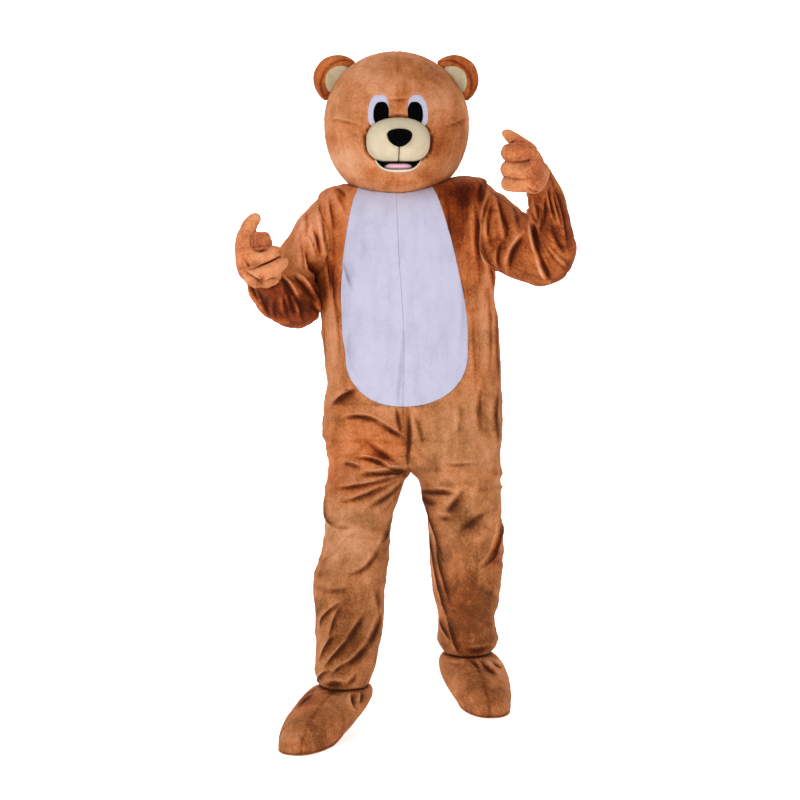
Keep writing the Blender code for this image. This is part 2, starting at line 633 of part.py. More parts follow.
def armhole_loop(side):
    """The armhole's loop from the shoulder by the front, and which way leads off the sleeve."""
    hole = ARMHOLES[side]
    angles = np.linspace(0, 2 * math.pi, 2 * ARM_STEPS, endpoint=False)
    middle, half = (hole["top"] + hole["bottom"]) / 2, (hole["top"] - hole["bottom"]) / 2
    height = middle + half * np.cos(angles)
    t = 0.5 - hole["spread"] / 180 * np.sin(angles)
    loop = suit_surface(side, height, t)
    normals = normals_of(suit_surface, side, height, t)
    along = np.roll(loop, -1, axis=0) - np.roll(loop, 1, axis=0)
    away = unit(np.cross(normals, along))
    away *= np.sign(np.sum(away * (loop - loop.mean(axis=0)), axis=-1, keepdims=True))
    return angles, loop - away * SEAM_GAP, away


def sleeve(side, material):
    """A tube from the armhole to the cuff."""
    sign = SIGN[side]
    angles, loop, away = armhole_loop(side)
    rows = table_rows(table(LEFT_SLEEVE if side == "left" else RIGHT_SLEEVE))
    outer = np.stack([loop] + [ring_points(row, sign, angles) for row in rows])
    normals = grid_normals(outer, True, sign)
    face = np.where(np.sin(angles) > -0.2, -1, 1)[None, :].repeat(len(outer), axis=0)
    fade = np.clip(np.arange(len(outer)) / 2.0, 0, 1)[:, None]
    outer = outer + normals * (fold_depth(table(SLEEVE_FOLDS), outer, face) * fade)[..., None]
    normals = grid_normals(outer, True, sign)
    inner = outer - normals * PLUSH
    over = np.maximum(np.sum((inner[0] - outer[0]) * away, axis=-1, keepdims=True), 0)
    inner[0] -= away * over
    return wall(f"sleeve_{side}", outer, inner, material, wrapped=True)


# ---- gloves -------------------------------------------------------------------------------------
def hand(side, material):
    """The palm and back of a glove: a bag from inside the cuff to its closed end above the knuckles."""
    sign = SIGN[side]
    angles = np.linspace(0, 2 * math.pi, 2 * ARM_STEPS, endpoint=False)
    cuff = table_rows(table(LEFT_SLEEVE if side == "left" else RIGHT_SLEEVE))[-2:]
    rows = table_rows(table(LEFT_HAND if side == "left" else RIGHT_HAND))
    rings = [ring_points(row, sign, angles, PLUSH + TUCK) for row in cuff]
    for row in rows:
        ring = ring_points(row, sign, angles)
        if sign * row["x"] > KNUCKLES[side]:
            ring[:, 0] = sign * np.maximum(sign * ring[:, 0], KNUCKLES[side])
        rings.append(ring)
    top = rings[-1].mean(axis=0) + (0.0, 0.0, 0.0002)
    outer = np.stack(rings + [np.repeat(top[None], len(angles), axis=0)])
    normals = grid_normals(outer, True, sign)
    normals[-1] = (0, 0, 1)
    return wall(f"glove_{side}_hand", outer, outer - normals * PLUSH, material, wrapped=True, capped=True)


def thimble(name, row, material):
    """A finger of a glove: open at its root, round at its tip."""
    start = np.array([row["x1"], row["y1"], row["z1"]])
    run = np.array([row["x2"], row["y2"], row["z2"]]) - start
    forward = unit(run)
    deep = unit(np.array([0.0, -1.0, 0.0]) + forward * forward[1])
    high = np.cross(forward, deep)
    angles = np.linspace(0, 2 * math.pi, FINGER_SIDES, endpoint=False) + math.pi / FINGER_SIDES
    power = 2 / row["square"]
    cosine = np.sign(np.cos(angles)) * np.abs(np.cos(angles)) ** power
    sine = np.sign(np.sin(angles)) * np.abs(np.sin(angles)) ** power
    around = cosine[:, None] * deep * row["deep"] + sine[:, None] * high * row["high"]
    outer = np.stack([start + run * share + around * wide for share, wide in FINGER_PROFILE])
    reach = np.linalg.norm(run)
    inner = np.stack([start + run * share * (1 - PLUSH / reach) + around * wide * (1 - PLUSH / row["high"])
                      for share, wide in FINGER_PROFILE])
    axis = int(row["axis"])
    for skin in (outer, inner):
        skin[0] += (row["seat"] - skin[0, :, axis])[:, None] * forward / forward[axis]
    return wall(name, outer, inner, material, wrapped=True, capped=True)


def glove(side, material):
    hand(side, material)
    for row in table_rows(table(FINGERS)):
        if row["hand"] == SIGN[side]:
            number = int(row["number"])
            thimble(f"glove_{side}_finger_{number}" if number else f"glove_{side}_thumb", row, material)


# ---- shoe covers --------------------------------------------------------------------------------
def foot_frame(side):
    """The ankle's centre, the toe's direction and the direction to the wearer's left."""
    foot = FEET[side]
    turn = math.radians(foot["turn"])
    toe = np.array([math.sin(turn), -math.cos(turn), 0.0])
    across = np.array([math.cos(turn), math.sin(turn), 0.0])
    return np.array([*foot["ankle"], 0.0]), toe, across


def sole_outline(side, angles):
    """The sole's edge from the ankle's axis; angle 0 is the toe, and 180 degrees the heel."""
    ankle, toe, across = foot_frame(side)
    half = SHOE_LENGTH / 2
    middle = half - FEET[side]["heel_back"]
    along = middle + half * np.cos(angles)
    wide = SHOE_HALF_WIDTH * np.sign(np.sin(angles)) * np.abs(np.sin(angles)) ** 0.85
    wide = wide * (1 + SHOE_TAPER * np.cos(angles)) + FEET[side]["shift"]
    return ankle + along[:, None] * toe + wide[:, None] * across


def lifted(side, points):
    """Raises what lies behind the ball of the foot, as on a foot that rolls onto its toes."""
    ankle, toe, _ = foot_frame(side)
    foot = FEET[side]
    ball = 0.66 * SHOE_LENGTH
    behind = np.clip(1 - ((points - ankle) @ toe + foot["heel_back"]) / ball, 0, 1)
    low = np.clip((HEM - points[..., 2]) / (HEM - LIFT_FLOOR), 0, 1)
    points[..., 2] += foot["heel_lift"] * behind ** 1.2 * low
    return points


def ankle_outline(side, angles):
    """Just inside the trouser hem, in line with the same directions."""
    rows = SUIT[side]
    ankle, toe, across = foot_frame(side)
    inside = PLUSH + TUCK
    half_x = abs(rows["outer"][-1] - rows["inner"][-1]) / 2 - inside
    half_y = rows["front"][-1] - inside
    ways = np.cos(angles)[:, None] * toe + np.sin(angles)[:, None] * across
    reach = 1 / np.hypot(ways[:, 0] / half_x, ways[:, 1] / half_y)
    return ankle + ways * reach[:, None]


def shoe_half(side, half, material):
    """One half of a shoe cover's upper, from the centre seam over the toe to the one at the heel."""
    rings = table(SHOE)
    angles = np.linspace(0, math.pi, SHOE_STEPS + 1) * (1 if half == "outer" else -1) * SIGN[side]
    sole, ankle = sole_outline(side, angles), ankle_outline(side, angles)
    toward = np.clip(np.cos(angles), 0, 1)[None, :, None] ** 1.3
    reach = rings["side_reach"][:, None, None] * (1 - toward) + rings["toe_reach"][:, None, None] * toward
    height = rings["side_height"][:, None, None] * (1 - toward) + rings["toe_height"][:, None, None] * toward
    outer = ankle[None] + (sole - ankle)[None] * reach
    axis = foot_frame(side)[0]
    outer += unit(ankle - axis)[None] * rings["bulge"][:, None, None] * (1 - 0.75 * toward)
    outer[..., 2] = height[..., 0]
    outer = lifted(side, outer)
    _, toe, across = foot_frame(side)
    seam = across * np.sign(angles[1])
    normals = grid_normals(outer, False, np.sign(angles[1]))
    for edge in (0, -1):
        normals[:, edge] = unit(normals[:, edge] - (normals[:, edge] @ across)[:, None] * across)
        outer[:, edge] += seam * SEAM_GAP / 2
    inner = outer - normals * PLUSH
    inner[-1, :, 2] = outer[-1, :, 2]
    return wall(f"shoe_{side}_{half}", outer, inner, material)


def sole(side, material):
    """A flat sole under both halves."""
    angles = np.linspace(0, 2 * math.pi, 2 * SHOE_STEPS, endpoint=False)
    edge = sole_outline(side, angles)
    middle = edge.mean(axis=0)
    rings = np.stack([edge, middle + (edge - middle) * 0.5, np.repeat(middle[None], len(edge), axis=0)])
    top, under = rings.copy(), rings.copy()
    top[..., 2] = SOLE_THICKNESS
    under[..., 2] = 0.0
    rise = lifted(side, under.copy())[..., 2]
    top[..., 2] += rise
    under[..., 2] += rise
    return wall(f"shoe_{side}_sole", top, under, material, wrapped=True, capped=True)


# ---- the head -----------------------------------------------------------------------------------
def place_head(points):
    """From the head's own frame, centred and facing -Y, to its place on the shoulders."""
    turn = math.radians(HEAD_TURN)
    cosine, sine = math.cos(turn), math.sin(turn)
    x, y, z = points[..., 0], points[..., 1], points[..., 2]
    turned = np.stack([x * cosine - y * sine, x * sine + y * cosine, z], -1)
    return turned + np.array(HEAD_CENTRE)


def head_surface(latitude, longitude, inset):
    """The head's surface, moved in by inset; longitude 0 is the front and 90 degrees the wearer's left."""
    power = np.where(latitude < 0, 2 / HEAD_SQUARE, 1.0)
    radius = (HEAD_RADIUS - inset) * np.cos(latitude) ** power
    tall = np.where(latitude < 0, HEAD_DOWN - inset, HEAD_UP - inset)
    z = tall * np.sign(latitude) * np.abs(np.sin(latitude)) ** power
    return np.stack([radius * np.sin(longitude), -HEAD_DEPTH * radius * np.cos(longitude), z], -1)


def face_depth(x, z):
    """How far in front of its centre the head's surface is at x and z."""
    tall = np.where(z < 0, HEAD_DOWN, HEAD_UP)
    power = np.where(z < 0, HEAD_SQUARE, 2.0)
    radius = HEAD_RADIUS * np.maximum(1 - (np.abs(z) / tall) ** power, 0) ** (1 / power)
    return HEAD_DEPTH * np.sqrt(np.maximum(radius ** 2 - x ** 2, 0))


def head_panel(name, sign, front, lower, upper, material):
    """A gore between the centre seam and the side seam, from the latitude upper down to lower."""
    across = np.linspace(0, 90, HEAD_STEPS + 1) if front else np.linspace(180, 90, HEAD_STEPS + 1)
    longitude = np.radians(across)[None, :] * sign
    hole = -(HOLE_FRONT + HOLE_BACK) / 2 - (HOLE_FRONT - HOLE_BACK) / 2 * np.cos(longitude)
    bottom = hole if lower is None else np.full_like(hole, lower)
    steps = HEAD_STEPS * 2 if upper > 0 and lower is None else HEAD_STEPS
    share = np.linspace(0, 1, steps + 1)[:, None]
    latitude = np.radians(upper + (bottom - upper) * share)
    both = []
    for inset in (0.0, HEAD_WALL):
        points = head_surface(latitude, np.broadcast_to(longitude, latitude.shape), inset)
        points[..., 0] = sign * np.maximum(sign * points[..., 0], SEAM_GAP / 2)
        facing = -1 if front else 1
        points[..., 1] = facing * np.maximum(facing * points[..., 1], SEAM_GAP / 2)
        if upper == 0:
            points[..., 2] = np.minimum(points[..., 2], -SEAM_GAP / 2)
        if lower == 0:
            points[..., 2] = np.maximum(points[..., 2], SEAM_GAP / 2)
        both.append(place_head(points))
    return wall(name, both[0], both[1], material)


def ear_grids(sign, first, last, reach, lift):
    """Front and back of an ear, or of a patch on its front, from the head to its round rim."""
    back = EAR_SET_BACK
    s = np.linspace(first, last, EAR_SPOKES)[:, None]
    r = np.linspace(0, reach, 5)[None, :]
    corner = ear_corners(back)
    rim = EAR_CENTRE + EAR_RADIUS * np.stack([np.cos(corner[0] + (corner[1] - corner[0]) * s),
                                              np.sin(corner[0] + (corner[1] - corner[0]) * s)], -1)[:, 0]
    head_angle = corner[2] + (corner[3] - corner[2]) * s[:, 0]
    root = head_ring(head_angle, back) * (1 + 0.0012 / HEAD_RADIUS)
    flat = root[:, None] + (rim - root)[:, None] * r[..., None]
    swell = (1 - (r * 0.985) ** 3.0) ** 0.5 * np.sin(math.pi * (0.04 + 0.92 * s)) ** 0.4
    half = 0.003 + (EAR_HALF_THICKNESS - 0.003) * swell
    cup = 0.010 * (1 - r) * np.ones_like(s)
    front = np.stack([sign * flat[..., 0], back - half + cup - lift, flat[..., 1]], -1)
    rear = np.stack([sign * flat[..., 0], back + half + 0.2 * cup, flat[..., 1]], -1)
    return front, rear


def head_ring(angle, back):
    """The head's outline in the ear's plane, as outward and up, at an angle above the equator."""
    shrink = math.sqrt(1 - (back / (HEAD_DEPTH * HEAD_RADIUS)) ** 2)
    return np.stack([HEAD_RADIUS * shrink * np.cos(angle), HEAD_UP * shrink * np.sin(angle)], -1)


def ear_corners(back):
    """Where the ear's circle crosses the head: angles round the ear, then round the head."""
    angles = np.linspace(0, math.pi / 2, 1801)
    gap = np.hypot(*(head_ring(angles, back) - EAR_CENTRE).T) - EAR_RADIUS
    crossing = angles[np.nonzero(np.diff(np.sign(gap)))[0]]
    low, high = head_ring(crossing[:1], back)[0], head_ring(crossing[-1:], back)[0]
    around = [math.atan2(*(point - EAR_CENTRE)[::-1]) for point in (low, high)]
    return around[0], around[1] % (2 * math.pi), crossing[0], crossing[-1]


def ear(sign, name, brown, cream):
    front, rear = ear_grids(sign, 0.03, 0.97, 1.0, 0.0)
    wall(f"ear_{name}", place_head(front), place_head(rear), brown)
    shape, _ = ear_grids(sign, 0.17, 0.83, 0.60, LAID_ON)
    over, _ = ear_grids(sign, 0.17, 0.83, 0.60, LAID_ON + FELT)
    wall(f"ear_inner_{name}", place_head(over), place_head(shape), cream)


# ---- the face -----------------------------------------------------------------------------------
def oval(feature, angles):
    """Outline of an oval that leans sideways with height."""
    x = feature["half_x"] * np.cos(angles)
    z = feature["half_z"] * np.sin(angles)
    return feature["x"] + x + feature["lean"] * z, feature["z"] + z


def muzzle_reach(x, z):
    """0 at the muzzle's middle and 1 at its edge."""
    power = MUZZLE["power"]
    wide = np.abs((x - MUZZLE["x"]) / MUZZLE["half_x"]) ** power
    tall = np.abs((z - MUZZLE["z"]) / MUZZLE["half_z"]) ** power
    return (wide + tall) ** (1 / power)


def muzzle_depth(x, z):
    """How far in front of the head's centre the muzzle's surface is."""
    edge = np.clip(muzzle_reach(x, z), 0, 1)
    return face_depth(x, z) + 0.004 + MUZZLE["out"] * (1 - edge ** 2.6) ** 0.55


def muzzle_edge(x, up):
    """The height of the muzzle's edge at x, above or below its middle."""
    share = np.clip(np.abs(x - MUZZLE["x"]) / MUZZLE["half_x"], 0, 1)
    return MUZZLE["z"] + up * MUZZLE["half_z"] * (1 - share ** MUZZLE["power"]) ** (1 / MUZZLE["power"])


def polar_patch(name, edge_x, edge_z, middle, under, over, material, rings=PATCH_RINGS):
    """A pad over an outline on the face: rings from its edge to its middle."""
    share = (1 - np.linspace(0, 1, rings + 1) ** 1.5)[:, None]
    x = middle[0] + (edge_x - middle[0])[None, :] * share
    z = middle[1] + (edge_z - middle[1])[None, :] * share
    front = place_head(np.stack([x, -over(x, z), z], -1))
    rear = place_head(np.stack([x, -under(x, z), z], -1))
    return wall(name, front, rear, material, wrapped=True, capped=True)


def eye_patch(name, feature, base, thickness, material):
    """A flat oval of felt on the face, cut off where the muzzle begins."""
    angles = np.linspace(0, 2 * math.pi, PATCH_SPOKES, endpoint=False)
    x, z = oval(feature, angles)
    z = np.maximum(z, muzzle_edge(x, 1) + 0.0015)

    def under(px, pz):
        return face_depth(px, pz) + base

    def over(px, pz):
        return face_depth(px, pz) + base + thickness

    polar_patch(name, x, z, (feature["x"], feature["z"]), under, over, material)


def muzzle(material):
    angles = np.linspace(0, 2 * math.pi, 20, endpoint=False)
    power = 2 / MUZZLE["power"]
    x = MUZZLE["x"] + MUZZLE["half_x"] * np.sign(np.cos(angles)) * np.abs(np.cos(angles)) ** power
    z = MUZZLE["z"] + MUZZLE["half_z"] * np.sign(np.sin(angles)) * np.abs(np.sin(angles)) ** power

    def under(px, pz):
        return face_depth(px, pz) + LAID_ON

    polar_patch("muzzle", x, z, (MUZZLE["x"], MUZZLE["z"]), under, muzzle_depth, material, rings=5)


def nose(material):
    """A rounded triangle with its point down."""
    angles = np.linspace(0, 2 * math.pi, PATCH_SPOKES, endpoint=False)
    taper = 1 + 0.24 * np.sin(angles)
    x = NOSE["x"] + NOSE["half_x"] * np.cos(angles) * taper
    z = NOSE["z"] + NOSE["half_z"] * np.sin(angles)

    def under(px, pz):
        return muzzle_depth(px, pz) + NOSE_SEAT

    def over(px, pz):
        away = np.hypot((px - NOSE["x"]) / NOSE["half_x"], (pz - NOSE["z"]) / NOSE["half_z"])
        return under(px, pz) + 0.003 + NOSE["out"] * np.sqrt(np.maximum(1 - np.clip(away, 0, 1) ** 2.5, 0))

    polar_patch("nose", x, z, (NOSE["x"], NOSE["z"]), under, over, material)


def strip(name, half, low, high, out, material, columns=10):
    """A pad between two curves across the face, bulging forward by out."""
    u = np.linspace(-1, 1, columns + 1)[None, :]
    x = MUZZLE["x"] + half * u
    share = np.linspace(0, 1, 4)[:, None]
    z = low(x) + (high(x) - low(x)) * share
    x = np.broadcast_to(x, z.shape)
    bulge = 0.006 + out * (1 - np.abs(u) ** 2.4) ** 0.5 * (0.9 + 0.1 * np.sin(math.pi * share))
    front = place_head(np.stack([x, -face_depth(x, z) - bulge, z], -1))
    rear = place_head(np.stack([x, -face_depth(x, z) - LAID_ON, z], -1))
    return wall(name, front, rear, material)


def mouth_parts(black, pink, cream):
    """The mouth's dark inside under the muzzle, the tongue below it and the lower lip round both."""
    gap = 0.0005

    def mouth_low(x):
        return -0.1245 + 0.0105 * ((x - MUZZLE["x"]) / MOUTH_HALF) ** 2

    def mouth_high(x):
        return muzzle_edge(x, -1) - gap

    def tongue_low(x):
        return mouth_low(x) - 0.0085 * (1 - 0.8 * ((x - MUZZLE["x"]) / TONGUE_HALF) ** 2)

    def lip_high(x):
        inside = np.abs(x - MUZZLE["x"]) < TONGUE_HALF + 0.001
        return np.where(inside, tongue_low(x), mouth_low(x)) - gap

    def lip_low(x):
        return -0.1440 + 0.0250 * ((x - MUZZLE["x"]) / MOUTH_HALF) ** 2

    strip("mouth", MOUTH_HALF, mouth_low, mouth_high, 0.036, black)
    strip("tongue", TONGUE_HALF, tongue_low, lambda x: mouth_low(x) - gap, 0.040, pink, columns=8)
    strip("lower_lip", MOUTH_HALF + 0.002, lip_low, lip_high, 0.044, cream)


def head(materials):
    brown = materials["brown_plush"]
    for sign, side in ((1, "left"), (-1, "right")):
        head_panel(f"head_face_upper_{side}", sign, True, 0, 90, brown)
        head_panel(f"head_face_lower_{side}", sign, True, None, 0, brown)
        head_panel(f"head_back_{side}", sign, False, None, 90, brown)
        ear(sign, side, brown, materials["cream_plush"])
        eye_patch(f"eye_{side}", EYES[side], LAID_ON, FELT, materials["white_felt"])
        eye_patch(f"pupil_{side}", PUPILS[side], LAID_ON * 2 + FELT, FELT, materials["black_felt"])
    muzzle(materials["cream_plush"])
    nose(materials["black_felt"])
    mouth_parts(materials["black_felt"], materials["pink_felt"], materials["cream_plush"])


def main():
    for old in list(bpy.data.objects):
        bpy.data.objects.remove(old)
    collection = bpy.data.collections.new("bear_mascot_costume")
    bpy.context.scene.collection.children.link(collection)
    materials = make_materials()
    brown = materials["brown_plush"]
    head(materials)
    for side in ("left", "right"):
        suit_panel("front", side, brown)
        suit_panel("back", side, brown)
        belly_panel(side, materials["white_fleece"])
        sleeve(side, brown)
        glove(side, brown)
        shoe_half(side, "outer", brown)
        shoe_half(side, "inner", brown)
        sole(side, brown)


main()
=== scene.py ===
import math

import bmesh
import bpy
import numpy as np
from mathutils import Matrix, Vector


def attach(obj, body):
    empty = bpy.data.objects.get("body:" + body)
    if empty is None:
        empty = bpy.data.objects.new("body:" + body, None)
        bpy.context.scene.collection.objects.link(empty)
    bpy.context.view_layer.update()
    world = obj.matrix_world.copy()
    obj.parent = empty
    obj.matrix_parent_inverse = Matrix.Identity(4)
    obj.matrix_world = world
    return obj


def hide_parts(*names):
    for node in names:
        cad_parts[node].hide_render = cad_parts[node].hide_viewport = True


# A plush bear costume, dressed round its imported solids. Heights in the tables are above the floor,
# and the frame's origin is at the wearer's shoulders, so shoulderHeight comes off every finished point.
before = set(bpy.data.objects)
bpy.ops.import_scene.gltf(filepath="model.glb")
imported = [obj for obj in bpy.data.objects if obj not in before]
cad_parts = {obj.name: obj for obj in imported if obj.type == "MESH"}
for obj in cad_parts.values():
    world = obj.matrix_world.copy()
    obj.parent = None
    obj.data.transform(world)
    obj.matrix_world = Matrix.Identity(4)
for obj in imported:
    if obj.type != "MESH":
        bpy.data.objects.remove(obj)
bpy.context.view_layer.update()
shoulderHeight = 1.45

view = {"distance": 5.0, "height": 1.35, "down": 5.33, "lens": 79.42, "sensor": 36.0, "pixels": 800}
cameraData = bpy.data.cameras.new("camera")
cameraData.lens = view["lens"]
cameraData.sensor_width = view["sensor"]
camera = bpy.data.objects.new("camera", cameraData)
camera.location = (0, -view["distance"], view["height"] - shoulderHeight)
camera.rotation_euler = (math.radians(90 - view["down"]), 0, 0)
bpy.context.scene.collection.objects.link(camera)
bpy.context.scene.camera = camera


def seenAt(points):
    # where points above the floor land in the view, in pixels from its upper left corner
    down = math.radians(view["down"])
    away, up = points[..., 1] + view["distance"], points[..., 2] - view["height"]
    forward = away * math.cos(down) - up * math.sin(down)
    rise = away * math.sin(down) + up * math.cos(down)
    zoom = view["pixels"] * view["lens"] / view["sensor"]
    middle = view["pixels"] / 2
    return middle + zoom * points[..., 0] / forward, middle - zoom * rise / forward


def columnsOf(text):
    lines = text.strip().splitlines()
    values = np.array([[float(word) for word in line.split()] for line in lines[1:]])
    return dict(zip(lines[0].split(), values.T))


def rowsOf(text):
    columns = columnsOf(text)
    count = len(next(iter(columns.values())))
    return [{name: columns[name][k] for name in columns} for k in range(count)]


def easyCurve(places, values, at):
    # a cubic through the points that keeps rising or falling runs free of overshoot
    order = np.argsort(places)
    places, values = places[order], values[order]
    steps = np.diff(places)
    rates = np.diff(values) / steps
    slopes = np.concatenate([rates[:1], np.zeros(len(rates) - 1), rates[-1:]])
    same = rates[:-1] * rates[1:] > 0
    total = np.where(same, rates[:-1] + rates[1:], 1.0)
    slopes[1:-1] = np.where(same, 2 * rates[:-1] * rates[1:] / total, 0.0)
    at = np.clip(at, places[0], places[-1])
    k = np.clip(np.searchsorted(places, at) - 1, 0, len(steps) - 1)
    u = (at - places[k]) / steps[k]
    return ((1 + 2 * u) * (1 - u) ** 2 * values[k] + u * (1 - u) ** 2 * steps[k] * slopes[k]
            + u * u * (3 - 2 * u) * values[k + 1] + u * u * (u - 1) * steps[k] * slopes[k + 1])


def unit(vectors):
    return vectors / np.maximum(np.linalg.norm(vectors, axis=-1, keepdims=True), 1e-12)


def powered(values, power):
    return np.sign(values) * np.abs(values) ** power


def bell(values, middle, reach):
    return np.exp(-((values - middle) / reach) ** 2)


def ringAngles(count):
    return np.linspace(0, 2 * math.pi, count, endpoint=False)


def runAlong(points):
    # distance from the first point along a line of them
    return np.concatenate([[0], np.cumsum(np.linalg.norm(np.diff(points, axis=0), axis=1))])


def easeBetween(values, low, high):
    share = np.clip((values - low) / (high - low), 0, 1)
    return share * share * (3 - 2 * share)


def cloud(points, cells, seed):
    # smooth noise between -1 and 1; cells are its lump sizes along X, Y and Z
    lattice = np.random.default_rng(seed).uniform(-1, 1, (32, 32, 32))
    place = points / np.array(cells) + 64
    base = np.floor(place).astype(int)
    share = place - base
    share = share * share * (3 - 2 * share)
    total = np.zeros(points.shape[:-1])
    for i in (0, 1):
        for j in (0, 1):
            for k in (0, 1):
                weight = (np.where(i, share[..., 0], 1 - share[..., 0])
                          * np.where(j, share[..., 1], 1 - share[..., 1])
                          * np.where(k, share[..., 2], 1 - share[..., 2]))
                corner = (base + (i, j, k)) % 32
                total += weight * lattice[corner[..., 0], corner[..., 1], corner[..., 2]]
    return total


def turnedAbout(points, degrees):
    # coordinates on axes that lean in the XZ plane, for slanting wrinkles
    angle = math.radians(degrees)
    x, y, z = points[..., 0], points[..., 1], points[..., 2]
    return np.stack([x * math.cos(angle) + z * math.sin(angle), y,
                     z * math.cos(angle) - x * math.sin(angle)], axis=-1)


def wrinkles(points, cells, seed, sharp=0.16):
    # long creases that wander along one direction, with soft rolls between them
    drift = np.stack([cloud(points, (0.07, 0.07, 0.07), seed + k) for k in (1, 2, 3)], axis=-1)
    field = cloud(points + 0.012 * drift, cells, seed)
    calm = easeBetween(cloud(points, (0.11, 0.11, 0.13), seed + 4), -0.25, 0.35)
    return -calm * (0.65 * np.exp(-np.abs(field) / sharp) + 0.35 * bell(field, 0, 0.35) - 0.28)


def gridNormals(grid, wrapped):
    if wrapped:
        across = np.roll(grid, -1, axis=1) - np.roll(grid, 1, axis=1)
    else:
        across = np.gradient(grid, axis=1)
    return unit(np.cross(across, np.gradient(grid, axis=0)))


def finerRows(coarse, steps):
    # more rows along smooth curves through the coarse ones
    ends = np.concatenate([2 * coarse[:1] - coarse[1:2], coarse, 2 * coarse[-1:] - coarse[-2:-1]])
    rows = []
    for k in range(len(coarse) - 1):
        a, b, c, d = ends[k:k + 4]
        for u in np.linspace(0, 1, steps, endpoint=False):
            rows.append(0.5 * (2 * b + (c - a) * u + (2 * a - 5 * b + 4 * c - d) * u * u
                               + (3 * b - a - 3 * c + d) * u ** 3))
    return np.stack(rows + [coarse[-1]])


